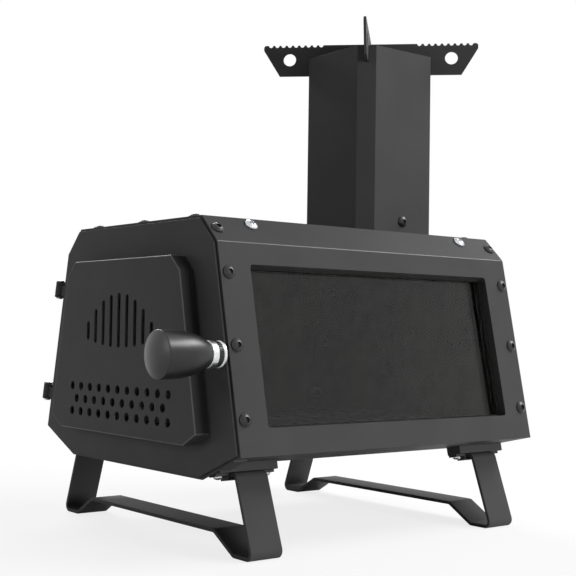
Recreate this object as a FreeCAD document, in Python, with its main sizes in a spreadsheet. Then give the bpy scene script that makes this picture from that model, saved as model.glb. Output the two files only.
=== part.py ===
# Camping wood stove: a folded steel firebox on two strap legs, with a hinged door at the -X end,
# a window in the -Y side, a square flue and a crossed pot support.
# Millimetres, +Z up. Every piece is drawn in one working frame (door face at x = 0, mid-plane at
# y = 0, underside of the shell at z = 0); the export moves them all together so that the origin
# lies on the floor under the middle of the stove.
import FreeCAD, Part
import math
import os
import re
from types import SimpleNamespace

import Sketcher
from FreeCAD import Placement, Rotation, Vector

# Driving sizes: alias, value, meaning.
SIZES = (
    ("shell_bottom_half", 104.0, "half width of the flat bottom"),
    ("low_chamfer_width", 50.5, "lower chamfer: width on each side"),
    ("low_chamfer_height", 11.5, "lower chamfer: height"),
    ("side_lean_in", 35.0, "how far each side face leans in up to the upper fold"),
    ("side_height", 162.0, "height of the side faces"),
    ("top_chamfer_width", 21.5, "upper chamfer: width on each side"),
    ("top_chamfer_height", 21.0, "upper chamfer: height"),
    ("shell_length", 325.0, "length of the shell panels"),
    ("sheet_wall", 1.5, "sheet thickness of panels, end frames and flue"),
    ("bend_radius", 1.0, "inside radius of the panel folds"),
    ("seat_gap", 0.1, "gap between pieces that are fixed together"),
    ("move_gap", 0.3, "gap between pieces that move apart"),
    ("frame_depth", 16.0, "depth of an end frame along the stove"),
    ("frame_lip", 10.0, "width of the lip behind the door"),
    ("lip_length", 15.0, "length of the top panel's folded edges"),
    ("low_lip_length", 5.5, "length of the bottom panel's folded edges"),
    ("lip_gap", 2.0, "folded edges clear of the end frames"),
    ("drill_reach", 14.0, "how far a drill goes in behind a face"),
    ("drill_proud", 10.0, "how far a drill starts in front of a face"),
    ("door_wall", 2.0, "thickness of the door plate"),
    ("door_inset", 2.3, "door edge inside the shell outline"),
    ("door_drop", 10.0, "door outline below the shell's bottom"),
    ("skirt_depth", 12.0, "skirt under the door end: depth along the stove"),
    ("skirt_end", 8.5, "skirt inside the lower folds"),
    ("cover_top_margin", 19.5, "door cover: top corner inside the shell's, sideways"),
    ("cover_shoulder_margin", 28.0, "door cover: upper corner inside the shell's, sideways"),
    ("cover_base_margin", 37.2, "door cover: lower corner inside the shell's, sideways"),
    ("cover_bottom_margin", 4.4, "door cover: bottom corner inside the shell's, sideways"),
    ("cover_top_drop", 31.2, "door cover: top below the shell's top"),
    ("cover_shoulder_drop", 22.3, "door cover: upper corner below the shell's"),
    ("cover_base_climb", 14.7, "door cover: lower corner above the shell's"),
    ("cover_bottom_climb", 26.5, "door cover: bottom above the door's bottom"),
    ("cover_depth", 13.4, "door cover: how far it stands off the plate"),
    ("cover_ledge", 6.0, "plate left standing inside the cover walls"),
    ("air_hole", 7.4, "air hole diameter"),
    ("air_pitch", 15.7, "air hole pitch in a row"),
    ("air_step", 10.9, "height between air hole rows"),
    ("air_climb", 26.8, "middle row of air holes above the bottom of the cover"),
    ("vent_width", 5.0, "width of a vent slot"),
    ("vent_pitch", 13.0, "pitch of the vent slots"),
    ("vent_drop", 51.3, "middle of the vent below the top of the cover"),
    ("vent_long", 46.0, "length of the middle vent slot"),
    ("vent_short", 16.0, "length of the outermost vent slots"),
    ("window_end", 28.5, "window opening from each end of the shell"),
    ("window_low", 21.2, "slope from the lower fold to the window"),
    ("window_high", 17.5, "slope from the window to the upper fold"),
    ("window_corner", 3.0, "corner radius of the window opening"),
    ("window_return", 6.0, "depth of the folded window edge behind the panel"),
    ("glass_lap", 8.0, "glass behind the window edge"),
    ("glass_wall", 4.0, "glass thickness"),
    ("gasket_wall", 2.0, "window gasket thickness"),
    ("gasket_inset", 1.0, "gasket inside the edge of the glass"),
    ("sight_edge", 2.0, "gasket and retainer inside the window opening"),
    ("retainer_rim", 4.0, "window retainer beyond its studs"),
    ("stud_proud", 6.0, "window stud beyond the retainer"),
    ("stud_lap", 12.0, "window stud beyond the opening edge"),
    ("stud_pitch", 100.0, "pitch of the window studs"),
    ("stud_size", 4.0, "window stud diameter"),
    ("screw_size", 6.0, "panel screw diameter"),
    ("screw_head", 10.5, "panel screw head diameter"),
    ("screw_head_height", 3.3, "panel screw head height"),
    ("screw_socket", 4.0, "panel screw hexagon across flats"),
    ("screw_length", 9.0, "panel screw length under the head"),
    ("screw_inset", 7.5, "panel screw from the end of the shell"),
    ("screw_drop", 24.0, "upper side screws below the upper fold"),
    ("screw_climb", 27.0, "lower side screws above the lower fold"),
    ("screw_edge", 21.0, "outer top and bottom screws inside the top's edge"),
    ("nut_flats", 10.0, "panel nut across flats"),
    ("nut_height", 5.0, "panel nut height"),
    ("pan_nut_flats", 8.0, "cross-recess screw nut across flats"),
    ("pan_nut_height", 4.0, "cross-recess screw nut height"),
    ("small_nut_flats", 7.0, "stud and saddle nut across flats"),
    ("small_nut_height", 3.2, "stud and saddle nut height"),
    ("pan_size", 5.0, "cross-recess screw diameter"),
    ("pan_head", 11.0, "cross-recess screw head diameter"),
    ("pan_head_height", 3.4, "cross-recess screw head height"),
    ("pan_length", 9.0, "cross-recess screw length under the head"),
    ("pan_inset", 43.0, "edge screws from the door end of the shell"),
    ("pan_drop", 8.2, "edge screws down the chamfer from the top"),
    ("flue_width", 97.0, "flue width over the flats"),
    ("flue_corner", 12.5, "flue corner chamfer"),
    ("flue_height", 180.0, "flue height above the top"),
    ("flue_end", 13.5, "flue from the far end of the shell"),
    ("flue_screw_rise", 16.0, "flue screws above the top"),
    ("collar_height", 30.0, "flue collar above the top"),
    ("collar_flange", 8.0, "flue collar flange on the top, turned inwards"),
    ("pot_reach", 106.0, "pot plate half length at its top"),
    ("pot_foot", 90.0, "pot plate half length at its bottom"),
    ("pot_height", 31.0, "pot plate height"),
    ("pot_wall", 2.5, "pot plate thickness"),
    ("pot_sink", 16.0, "depth of the flue corner slots"),
    ("pot_hole", 12.5, "pot plate hole diameter"),
    ("pot_hole_reach", 80.0, "pot plate hole from the flue axis"),
    ("pot_hole_rise", 16.5, "pot plate hole above the plate bottom"),
    ("pot_tip", 5.0, "height of the pot plate's upright tip"),
    ("pot_ease", 1.5, "corner cut at the pot plate's tip"),
    ("tooth_pitch", 6.3, "pitch of the pot plate teeth"),
    ("tooth_gap", 4.2, "width of the scallop between two teeth"),
    ("tooth_reach", 99.0, "outermost scallop from the flue axis"),
    ("leg_width", 30.0, "leg strap width"),
    ("leg_wall", 3.0, "leg strap thickness"),
    ("leg_inset", 16.0, "leg strap from the end of the shell"),
    ("leg_bend", 3.0, "inside radius of the leg bends"),
    ("foot_drop", 68.0, "floor below the shell"),
    ("foot_half", 150.0, "foot: half width over its outer edges"),
    ("foot_inner_half", 123.5, "foot: half width between its inner edges"),
    ("bar_half", 97.0, "half length of the raised bar between the feet"),
    ("bar_rise", 15.5, "underside of the bar above the floor"),
    ("flange_start", 2.5, "leg flange inner end up the lower chamfer"),
    ("flange_end", 20.5, "leg flange outer bend up the lower chamfer"),
    ("bar_wall", 7.0, "bar between the shell and a leg strap: thickness"),
    ("bar_depth", 16.0, "bar between the shell and a leg strap: up the lower chamfer"),
    ("saddle_wall", 2.0, "leg saddle thickness"),
    ("saddle_wing", 10.5, "leg saddle wing beside the strap"),
    ("saddle_depth", 9.5, "leg saddle up the lower chamfer"),
    ("saddle_gap", 0.4, "saddle clear of the strap"),
    ("saddle_start", 1.0, "saddle up the chamfer from the end of the strap"),
    ("saddle_head", 7.6, "saddle screw head diameter"),
    ("saddle_head_height", 2.6, "saddle screw head height"),
    ("saddle_screw", 4.0, "saddle screw diameter"),
    ("hinge_drop", 34.5, "upper hinge below the upper fold"),
    ("hinge_climb", 32.5, "lower hinge above the lower fold"),
    ("hinge_offset", 7.0, "hinge axis off the side face"),
    ("hinge_knuckle", 9.0, "hinge knuckle diameter"),
    ("hinge_length", 10.0, "door knuckle length"),
    ("hinge_wall", 2.0, "hinge leaf and lug thickness"),
    ("hinge_pin", 4.0, "hinge pin diameter"),
    ("hinge_play", 0.08, "radial clearance of the door knuckle on its pin"),
    ("leaf_length", 30.0, "hinge leaf along the stove"),
    ("leaf_height", 24.0, "hinge leaf up the slope"),
    ("leaf_setback", 1.2, "hinge leaf behind the end of the shell"),
    ("leaf_screw_pitch", 17.0, "pitch of the hinge leaf screws"),
    ("arm_root", 9.0, "hinge lug root along the leaf"),
    ("rivet_head", 6.4, "hinge pin head diameter"),
    ("rivet_height", 1.4, "hinge pin head height"),
    ("latch_margin", 8.7, "latch spindle inside the side face"),
    ("latch_climb", 75.5, "latch spindle above the lower fold"),
    ("latch_play", 0.08, "radial clearance of the spindle in the door"),
    ("spindle_size", 5.0, "latch spindle diameter"),
    ("tongue_width", 9.0, "latch tongue width"),
    ("tongue_length", 24.0, "latch tongue from the spindle axis"),
    ("tongue_wall", 2.5, "latch tongue thickness"),
    ("tongue_ease", 2.0, "corner cut at the latch tongue's tip"),
    ("tongue_gap", 0.5, "latch tongue clear of the lip"),
    ("notch_half", 8.0, "half height of the latch notch in the lip"),
    ("notch_reach", 25.0, "half length of the latch notch in the lip"),
    ("spindle_grip", 24.0, "latch spindle inside the grip"),
    ("spindle_proud", 1.0, "latch spindle beyond its nut"),
    ("ring_wall", 3.0, "thin knob ring"),
    ("ring_size", 21.7, "thin knob ring diameter"),
    ("ring_ease", 0.5, "thin knob ring edge"),
    ("rib_wall", 4.4, "ribbed knob collar"),
    ("rib_size", 20.0, "ribbed knob collar diameter"),
    ("rib_groove", 1.04, "knob collar groove diameter"),
    ("ferrule_wall", 5.5, "wide knob ferrule"),
    ("ferrule_size", 22.0, "wide knob ferrule diameter"),
    ("ferrule_ease", 0.8, "wide knob ferrule edge"),
    ("grip_length", 42.8, "knob grip up to its rim"),
    ("grip_small", 20.8, "knob grip diameter at the ferrule"),
    ("grip_large", 36.4, "knob grip diameter at its rim"),
    ("grip_dome", 3.6, "height of the knob grip's end dome"),
    ("grip_ease", 0.9, "knob grip edge at its rim and neck"),
    ("grate_end", 37.5, "fire grate from each end of the shell"),
    ("grate_margin", 16.0, "fire grate inside the flat bottom"),
    ("grate_height", 24.0, "fire grate height"),
    ("grate_wall", 2.5, "fire grate thickness"),
    ("grate_slot", 8.0, "fire grate slot width"),
    ("grate_pitch", 22.0, "fire grate slot pitch"),
    ("grate_edge", 14.0, "fire grate slots from its long edges"),
    ("grate_spine_half", 8.0, "half width of the fire grate's middle"),
)


def lean(run, rise):
    """Angle of a face off the upright, in degrees."""
    return math.degrees(math.atan2(run, rise))


def miter(first, second):
    """Sideways and upward shift of a corner for each millimetre of inset of its two faces."""
    middle = math.radians((first + second) / 2)
    half = math.radians((first - second) / 2)
    return math.cos(middle) / math.cos(half), math.sin(middle) / math.cos(half)


def outline_sizes(prefix, v):
    """Face angles and corner shifts of an eight-sided outline that is wider at its base."""
    chamfer = lean(v[prefix + "_shoulder_half"] - v[prefix + "_top_half"],
                   v[prefix + "_top"] - v[prefix + "_shoulder"])
    side = lean(v[prefix + "_base_half"] - v[prefix + "_shoulder_half"],
                v[prefix + "_shoulder"] - v[prefix + "_base"])
    low = lean(v[prefix + "_base_half"] - v[prefix + "_bottom_half"],
               v[prefix + "_base"] - v[prefix + "_bottom"])
    level = 90
    corners = {"top": (level, chamfer), "shoulder": (chamfer, side), "base": (side, -low),
               "bottom": (-low, -level)}
    found = {prefix + "_chamfer_lean": chamfer, prefix + "_side_lean": side, prefix + "_low_lean": low}
    for corner, (first, second) in corners.items():
        across, up = miter(first, second)
        found[prefix + "_" + corner + "_across"] = across
        found[prefix + "_" + corner + "_up"] = up
    return found


def corner_sizes(v):
    """Half widths and heights of the corners of the shell, the door and the cover on the door."""
    found = {"shell_bottom": 0.0, "shell_base": v["low_chamfer_height"]}
    found["shell_shoulder"] = found["shell_base"] + v["side_height"]
    found["shell_top"] = found["shell_shoulder"] + v["top_chamfer_height"]
    found["shell_base_half"] = v["shell_bottom_half"] + v["low_chamfer_width"]
    found["shell_shoulder_half"] = found["shell_base_half"] - v["side_lean_in"]
    found["shell_top_half"] = found["shell_shoulder_half"] - v["top_chamfer_width"]
    corners = dict(found, shell_bottom_half=v["shell_bottom_half"])
    for corner in ("top", "shoulder", "base", "bottom"):
        name = "cover_%s" % corner
        found["door_" + corner] = corners["shell_" + corner]
        found["door_%s_half" % corner] = corners["shell_%s_half" % corner]
        found[name + "_half"] = corners["shell_%s_half" % corner] - v[name + "_margin"]
    found["door_bottom"] -= v["door_drop"]
    found["cover_top"] = found["shell_top"] - v["cover_top_drop"]
    found["cover_shoulder"] = found["shell_shoulder"] - v["cover_shoulder_drop"]
    found["cover_base"] = found["shell_base"] + v["cover_base_climb"]
    found["cover_bottom"] = found["door_bottom"] + v["cover_bottom_climb"]
    return found


def derived_sizes(driven):
    """Sizes that follow from the driving ones."""
    found = corner_sizes(driven)
    v = dict(driven, **found)
    found.update(outline_sizes("shell", v))
    found.update(outline_sizes("door", v))
    found.update(outline_sizes("cover", v))
    side = math.radians(found["shell_side_lean"])
    slope = v["side_height"] / math.cos(side)
    found["window_length"] = v["shell_length"] - 2 * v["window_end"]
    found["window_height"] = slope - v["window_low"] - v["window_high"]
    rise = v["window_low"] + found["window_height"] / 2
    found["air_height"] = v["cover_bottom"] + v["air_climb"]
    found["vent_height"] = v["cover_top"] - v["vent_drop"]
    found["screw_high"] = v["shell_shoulder"] - v["screw_drop"]
    found["screw_low"] = v["shell_base"] + v["screw_climb"]
    found["screw_middle"] = (found["screw_high"] + found["screw_low"]) / 2
    found["screw_spread"] = v["shell_top_half"] - v["screw_edge"]
    found["hinge_high"] = v["shell_shoulder"] - v["hinge_drop"]
    found["hinge_low"] = v["shell_base"] + v["hinge_climb"]
    found["latch_height"] = v["shell_base"] + v["latch_climb"]
    found["latch_side"] = v["shell_base_half"] - v["latch_climb"] * math.tan(side) - v["latch_margin"]
    found["grate_length"] = v["shell_length"] - 2 * v["grate_end"]
    found["grate_half"] = v["shell_bottom_half"] - v["grate_margin"]
    found["shell_start"] = v["door_wall"] + v["move_gap"]
    found["shell_end"] = found["shell_start"] + v["shell_length"]
    found["shell_middle"] = found["shell_start"] + v["shell_length"] / 2
    found["frame_inset"] = v["sheet_wall"] + v["seat_gap"]
    found["frame_inner"] = found["frame_inset"] + v["sheet_wall"]
    found["window_side"] = v["shell_base_half"] - rise * math.sin(side)
    found["window_rise"] = v["shell_base"] + rise * math.cos(side)
    found["window_turn"] = 90 - found["shell_side_lean"]
    found["saddle_turn"] = 90 + found["shell_low_lean"]
    found["flue_half"] = v["flue_width"] / 2
    found["flue_x"] = found["shell_end"] - v["flue_end"] - found["flue_half"]
    found["collar_half"] = v["flue_width"] / 2 - v["sheet_wall"] - v["seat_gap"]
    found["corner_shift"] = 2 - math.sqrt(2)
    found["collar_corner"] = v["flue_corner"] - (v["sheet_wall"] + v["seat_gap"]) * found["corner_shift"]
    found["pot_bottom"] = v["shell_top"] + v["flue_height"] - v["pot_sink"] + v["move_gap"]
    found["ring_end"] = v["move_gap"] + v["ring_wall"]
    found["rib_end"] = found["ring_end"] + v["rib_wall"]
    found["ferrule_end"] = found["rib_end"] + v["ferrule_wall"]
    found["grip_end"] = found["ferrule_end"] + v["grip_length"]
    found["bush_start"] = v["door_wall"] + v["move_gap"]
    found["tongue_start"] = found["bush_start"] + v["sheet_wall"] + v["tongue_gap"]
    found["tongue_end"] = found["tongue_start"] + v["tongue_wall"]
    found["grate_floor"] = v["sheet_wall"] + v["move_gap"]
    return found


doc = FreeCAD.newDocument("camp_stove")
sheet = doc.addObject("Spreadsheet::Sheet", "sizes")
driving = {alias: value for alias, value, meaning in SIZES}
rows = list(SIZES)
rows += [(alias, value, "follows from the sizes above") for alias, value in derived_sizes(driving).items()]
for row, (alias, value, meaning) in enumerate(rows, start=1):
    sheet.set("A%d" % row, meaning)
    sheet.set("B%d" % row, repr(float(value)))
    sheet.setAlias("B%d" % row, alias)
doc.recompute()
s = SimpleNamespace(**{alias: float(sheet.get(alias)) for alias, value, meaning in rows})
ALIAS = re.compile(r"\b(" + "|".join(alias for alias, value, meaning in rows) + r")\b")
nodes = {}


def bound(expression):
    """Expression text with every size alias pointed at the sheet."""
    return ALIAS.sub(r"sizes.\1", str(expression))


def bind(item, **expressions):
    """Bind properties of an object to expressions; a double underscore stands for a dot."""
    for name, expression in expressions.items():
        item.setExpression(name.replace("__", "."), bound(expression))


def node(name, item):
    """Register a document object as one exported piece."""
    item.Label = name
    nodes[name] = item
    return item


def piece(name, shape):
    """A piece whose shape is set by Part's own functions."""
    item = doc.addObject("Part::Feature", name)
    item.Shape = shape
    return node(name, item)


def place(item, x="0", y="0", z="0", axis=None, angle="0"):
    """Bind the placement of an object to expressions."""
    if axis is not None:
        item.Placement = Placement(Vector(), Rotation(axis, 30))
        bind(item, Placement__Rotation__Angle=angle)
    bind(item, Placement__Base__x=x, Placement__Base__y=y, Placement__Base__z=z)


# Sketches: polygons and circles whose corners and centres are bound to the sheet.


def add_polygon(sketch, corners):
    """Closed polygon with each corner at a pair of expressions."""
    first = sketch.GeometryCount
    count = len(corners)
    ring = [Rotation(Vector(0, 0, 1), 360.0 * i / count).multVec(Vector(50, 0, 0)) for i in range(count)]
    for i in range(count):
        sketch.addGeometry(Part.LineSegment(ring[i], ring[(i + 1) % count]))
    for i in range(count):
        sketch.addConstraint(Sketcher.Constraint("Coincident", first + i, 2, first + (i + 1) % count, 1))
    for i, corner in enumerate(corners):
        for kind, expression in zip(("DistanceX", "DistanceY"), corner):
            index = sketch.addConstraint(Sketcher.Constraint(kind, -1, 1, first + i, 1, 5.0))
            sketch.setExpression("Constraints[%d]" % index, bound(expression))


def add_circle(sketch, across, up, diameter):
    """Circle with its centre and diameter at expressions."""
    circle = sketch.addGeometry(Part.Circle(Vector(1, 1, 0), Vector(0, 0, 1), 2))
    for kind, expression in (("DistanceX", across), ("DistanceY", up)):
        index = sketch.addConstraint(Sketcher.Constraint(kind, -1, 1, circle, 3, 1.0))
        sketch.setExpression("Constraints[%d]" % index, bound(expression))
    index = sketch.addConstraint(Sketcher.Constraint("Diameter", circle, 4.0))
    sketch.setExpression("Constraints[%d]" % index, bound(diameter))


def new_body(name):
    """Empty PartDesign body."""
    return doc.addObject("PartDesign::Body", name)


def sketch_on(body, role, polygons=(), circles=(), start="0"):
    """Sketch on one of the body's origin planes, moved along the plane's normal."""
    sketch = body.newObject("Sketcher::SketchObject", body.Name + "_sketch")
    plane = [item for item in body.Origin.OriginFeatures if item.Role == role][0]
    sketch.AttachmentSupport = [(plane, "")]
    sketch.MapMode = "FlatFace"
    bind(sketch, AttachmentOffset__Base__z=start)
    for corners in polygons:
        add_polygon(sketch, corners)
    for circle in circles:
        add_circle(sketch, *circle)
    return sketch


def pad(body, role, length, polygons=(), circles=(), start="0", side="One side"):
    """Pad of a sketch along its plane's normal."""
    feature = body.newObject("PartDesign::Pad", body.Name + "_pad")
    feature.Profile = sketch_on(body, role, polygons, circles, start)
    feature.SideType = side
    bind(feature, Length=length)
    return feature


def pocket(body, role, length=None, polygons=(), circles=(), start="0"):
    """Pocket against the plane's normal, or through everything when no length is given."""
    doc.recompute()
    before = body.Shape.Volume
    feature = body.newObject("PartDesign::Pocket", body.Name + "_pocket")
    feature.Profile = sketch_on(body, role, polygons, circles, start)
    if length is None:
        feature.Type = "ThroughAll"
        feature.SideType = "Symmetric"
    else:
        bind(feature, Length=length)
    doc.recompute()
    if body.Shape.Volume >= before:
        raise RuntimeError("pocket cuts nothing in " + body.Name)
    return feature


def turn(body, profile):
    """Turned piece: a profile of expressions (along, radius) swept round the local X axis."""
    feature = body.newObject("PartDesign::Revolution", body.Name + "_turn")
    sketch = sketch_on(body, "XZ_Plane", [profile])
    feature.Profile = sketch
    feature.ReferenceAxis = (sketch, ["H_Axis"])
    feature.Angle = 360
    return feature


def rectangle(across_low, across_high, up_low, up_high):
    """Corners of a rectangle between expressions."""
    return [(across_low, up_low), (across_high, up_low), (across_high, up_high), (across_low, up_high)]


def outline(prefix, inset):
    """Corners (y, z) of an eight-sided outline, moved inwards by an expression."""
    order = ("bottom", "base", "shoulder", "top")
    right = []
    for corner in order:
        name = prefix + "_" + corner
        across = "%s_half - (%s) * %s_across" % (name, inset, name)
        right.append((across, "%s - (%s) * %s_up" % (name, inset, name)))
    left = [("-(%s)" % across, up) for across, up in reversed(right)]
    return right + left


def square(half, corner):
    """Corners of a square with chamfered corners."""
    short = "(%s) - (%s)" % (half, corner)
    first = [(half, "-(%s)" % short), (half, short), (short, half), ("-(%s)" % short, half)]
    return first + [("-(%s)" % across, "-(%s)" % up) for across, up in first]


# Folded sheet: a path in the YZ plane thickened to its left, extruded along X, with round bends.


def corner_at(name, inset=0.0, side=1, prefix="shell"):
    """Corner of an eight-sided outline at an inset, on the +Y side or its mirror."""
    corner = prefix + "_" + name
    half = getattr(s, corner + "_half") - inset * getattr(s, corner + "_across")
    height = getattr(s, corner) - inset * getattr(s, corner + "_up")
    return Vector(0, side * half, height)


def left_of(direction):
    """Direction to the left of another one in the YZ plane."""
    return Vector(0, -direction.z, direction.y)


def edges_at(solid, points):
    """Edges along X that pass through the given points of the section."""
    found = []
    for edge in solid.Edges:
        ends = [Vector(0, v.Y, v.Z) for v in edge.Vertexes]
        if len(ends) == 2 and any(max(e.distanceToPoint(p) for e in ends) < 1e-5 for p in points):
            found.append(edge)
    return found


def folded(path, wall, start, end, radius, cuts=(None, None)):
    """Bent sheet from start to end along X; cuts give the direction of its two end faces."""
    ways = [(b - a).normalize() for a, b in zip(path, path[1:])]
    sides = [left_of(way) for way in ways]
    inner = []
    tight = []
    wide = []
    for i, point in enumerate(path):
        if 0 < i < len(path) - 1:
            shift = (sides[i - 1] + sides[i]) * (wall / (1 + sides[i - 1].dot(sides[i])))
            left_turn = ways[i - 1].y * ways[i].z - ways[i - 1].z * ways[i].y > 0
            tight.append(point + shift if left_turn else point)
            wide.append(point if left_turn else point + shift)
        else:
            side = sides[0] if i == 0 else sides[-1]
            cut = cuts[0] if i == 0 else cuts[1]
            shift = side * wall if cut is None else cut * (wall / cut.dot(side))
        inner.append(point + shift)
    section = list(path) + inner[::-1]
    corners = [point + Vector(start, 0, 0) for point in section]
    solid = Part.Face(Part.makePolygon(corners + corners[:1])).extrude(Vector(end - start, 0, 0))
    if tight:
        solid = solid.makeFillet(radius, edges_at(solid, tight))
        solid = solid.makeFillet(radius + wall, edges_at(solid, wide))
    return solid


def drills(seats, radius):
    """Drill through each seat, square to its face."""
    length = s.drill_reach + s.drill_proud
    return [Part.makeCylinder(radius, length, point - normal * s.drill_reach, normal)
            for point, normal in seats]


def drilled(shape, seats, radius):
    """Shape with a round hole through each seat."""
    return shape.cut(Part.makeCompound(drills(seats, radius)))


def standing(normal):
    """Rotation that turns +Z onto a normal, with the local X axis kept level."""
    return Rotation(Vector(1, 0, 0), Vector(), normal, "ZXY")


def seated(shape, seats, lift=0.0):
    """Copies of a fastener drawn along +Z, one on each seat, as one group of solids."""
    copies = []
    for point, normal in seats:
        copy = shape.copy()
        copy.Placement = Placement(point + normal * lift, standing(normal))
        copies.append(copy)
    return Part.makeCompound(copies)


# Fasteners, drawn along +Z with the underside of the head at the origin. Shares of a head's size:
# its upright rim, the floor of its recess, and the arms of a cross recess.
SOCKET_RIM = 0.3
SOCKET_FLOOR = 0.4
PAN_RIM = 0.4
CROSS_FLOOR = 0.45
CROSS_LONG = 0.55
CROSS_WIDE = 0.13


def cylinder(name, diameter, height, z="0"):
    """Upright cylinder bound to the sheet."""
    item = doc.addObject("Part::Cylinder", name)
    bind(item, Radius="(%s) / 2" % diameter, Height=height)
    place(item, z=z)
    return item


def joined(kind, name, items):
    """Fuse, compound or intersection of document objects."""
    item = doc.addObject(kind, name)
    if kind == "Part::Compound":
        item.Links = items
    else:
        item.Shapes = items
    return item


def cut(name, base, tool):
    """One document object less another."""
    item = doc.addObject("Part::Cut", name)
    item.Base = base
    item.Tool = tool
    return item


def domed_head(name, diameter, height, rim):
    """Round head with a domed top above a short upright rim."""
    ball = doc.addObject("Part::Sphere", name + "_ball")
    rise = "((%s) * (1 - %s))" % (height, rim)
    radius = "(((%s) / 2)^2 + %s^2) / (2 * %s)" % (diameter, rise, rise)
    bind(ball, Radius=radius)
    place(ball, z="(%s) - (%s)" % (height, radius))
    return joined("Part::MultiCommon", name, [cylinder(name + "_drum", diameter, height), ball])


def socket_screw(name, length):
    """Button-head screw with a hexagon socket."""
    hexagon = doc.addObject("Part::Prism", name + "_hexagon")
    hexagon.Polygon = 6
    bind(hexagon, Circumradius="screw_socket / 3^0.5", Height="screw_head_height")
    place(hexagon, z="screw_head_height * %s" % SOCKET_FLOOR)
    dome = domed_head(name + "_dome", "screw_head", "screw_head_height", SOCKET_RIM)
    head = cut(name + "_head", dome, hexagon)
    shank = cylinder(name + "_shank", "screw_size", length, "-(%s)" % length)
    return joined("Part::MultiFuse", name, [head, shank])


def cross_screw(name, head_size, head_height, size, length):
    """Pan-head screw with a cross recess."""
    bars = []
    for turned in (0, 1):
        bar = doc.addObject("Part::Box", "%s_bar_%d" % (name, turned))
        long_side = "(%s) * %s" % (head_size, CROSS_LONG)
        short_side = "(%s) * %s" % (head_size, CROSS_WIDE)
        bind(bar, Length=short_side if turned else long_side, Width=long_side if turned else short_side,
             Height=head_height)
        x = "-(%s) / 2" % (short_side if turned else long_side)
        y = "-(%s) / 2" % (long_side if turned else short_side)
        place(bar, x, y, "(%s) * %s" % (head_height, CROSS_FLOOR))
        bars.append(bar)
    recess = joined("Part::MultiFuse", name + "_recess", bars)
    head = cut(name + "_head", domed_head(name + "_dome", head_size, head_height, PAN_RIM), recess)
    shank = cylinder(name + "_shank", size, length, "-(%s)" % length)
    return joined("Part::MultiFuse", name, [head, shank])


def hexagon_nut(name, flats, height, bore):
    """Hexagon nut with a plain bore, hanging below the origin."""
    block = doc.addObject("Part::Prism", name + "_block")
    block.Polygon = 6
    bind(block, Circumradius="(%s) / 3^0.5" % flats, Height=height)
    place(block, z="-(%s)" % height)
    hole = cylinder(name + "_bore", bore, "(%s) * 2" % height, "-(%s) * 1.5" % height)
    return cut(name, block, hole)


SCREW = socket_screw("socket_screw", "screw_length")
SHORT_SCREW = socket_screw("short_screw", "frame_inner")
PAN = cross_screw("pan_screw", "pan_head", "pan_head_height", "pan_size", "pan_length")
SADDLE_SCREW = cross_screw("small_screw", "saddle_head", "saddle_head_height", "saddle_screw",
                           "pan_length + bar_wall")
NUT = hexagon_nut("panel_nut", "nut_flats", "nut_height", "screw_size + 2 * seat_gap")
PAN_NUT = hexagon_nut("pan_nut", "pan_nut_flats", "pan_nut_height", "pan_size + 2 * seat_gap")
SMALL_NUT = hexagon_nut("small_nut", "small_nut_flats", "small_nut_height", "saddle_screw + 2 * seat_gap")
doc.recompute()

# Seats: a point on an outer face and the outward normal there.


def side_seat(x, height, side):
    """Seat on a sloped side face."""
    share = (height - s.shell_base) / (s.shell_shoulder - s.shell_base)
    half = s.shell_base_half + (s.shell_shoulder_half - s.shell_base_half) * share
    angle = math.radians(s.shell_side_lean)
    return Vector(x, side * half, height), Vector(0, side * math.cos(angle), math.sin(angle))


def chamfer_seat(x, drop, side):
    """Seat on an upper chamfer, a distance down from the top."""
    angle = math.radians(s.shell_chamfer_lean)
    way = Vector(0, side * math.sin(angle), -math.cos(angle))
    point = Vector(x, 0, 0) + corner_at("top", 0, side) + way * drop
    return point, Vector(0, side * math.cos(angle), math.sin(angle))


def low_seat(x, climb, side):
    """Seat on a lower chamfer, a distance up from the bottom fold."""
    angle = math.radians(s.shell_low_lean)
    way = Vector(0, side * math.sin(angle), math.cos(angle))
    point = Vector(x, 0, 0) + corner_at("bottom", 0, side) + way * climb
    return point, Vector(0, side * math.cos(angle), -math.sin(angle))


def chamfer_length():
    """Width of an upper chamfer."""
    return corner_at("top").distanceToPoint(corner_at("shoulder"))


ENDS = (s.shell_start + s.screw_inset, s.shell_end - s.screw_inset)
SPREAD = (-s.screw_spread, 0.0, s.screw_spread)
LEAF_X = ENDS[0] + s.leaf_screw_pitch
front_seats = [side_seat(ENDS[0], z, -1) for z in (s.screw_high, s.screw_low)]
front_seats += [side_seat(ENDS[1], z, -1) for z in (s.screw_high, s.screw_middle, s.screw_low)]
front_seats += [chamfer_seat(x, chamfer_length() / 2, -1) for x in ENDS]
# The screw beside the latch ends flush in the frame, where a nut would be in the way of the tongue.
latch_seats = [side_seat(ENDS[0], s.screw_middle, -1)]
back_seats = [side_seat(ENDS[0], s.screw_middle, 1)]
back_seats += [side_seat(ENDS[1], z, 1) for z in (s.screw_high, s.screw_middle, s.screw_low)]
back_seats += [chamfer_seat(x, chamfer_length() / 2, 1) for x in ENDS]
frame_hinge_seats = [side_seat(ENDS[0], z, 1) for z in (s.hinge_high, s.hinge_low)]
panel_hinge_seats = [side_seat(LEAF_X, z, 1) for z in (s.hinge_high, s.hinge_low)]
hinge_seats = frame_hinge_seats + panel_hinge_seats
top_seats = [(Vector(x, y, s.shell_top), Vector(0, 0, 1)) for x in ENDS for y in SPREAD]
bottom_seats = [(Vector(x, y, s.shell_bottom), Vector(0, 0, -1)) for x in ENDS for y in SPREAD]
nut_seats = front_seats + back_seats + frame_hinge_seats + top_seats + bottom_seats
frame_seats = nut_seats + latch_seats
PAN_X = (s.shell_start + s.pan_inset, s.shell_end - s.pan_inset)
edge_seats = [chamfer_seat(x, s.pan_drop, side) for x in PAN_X for side in (-1, 1)]
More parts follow.
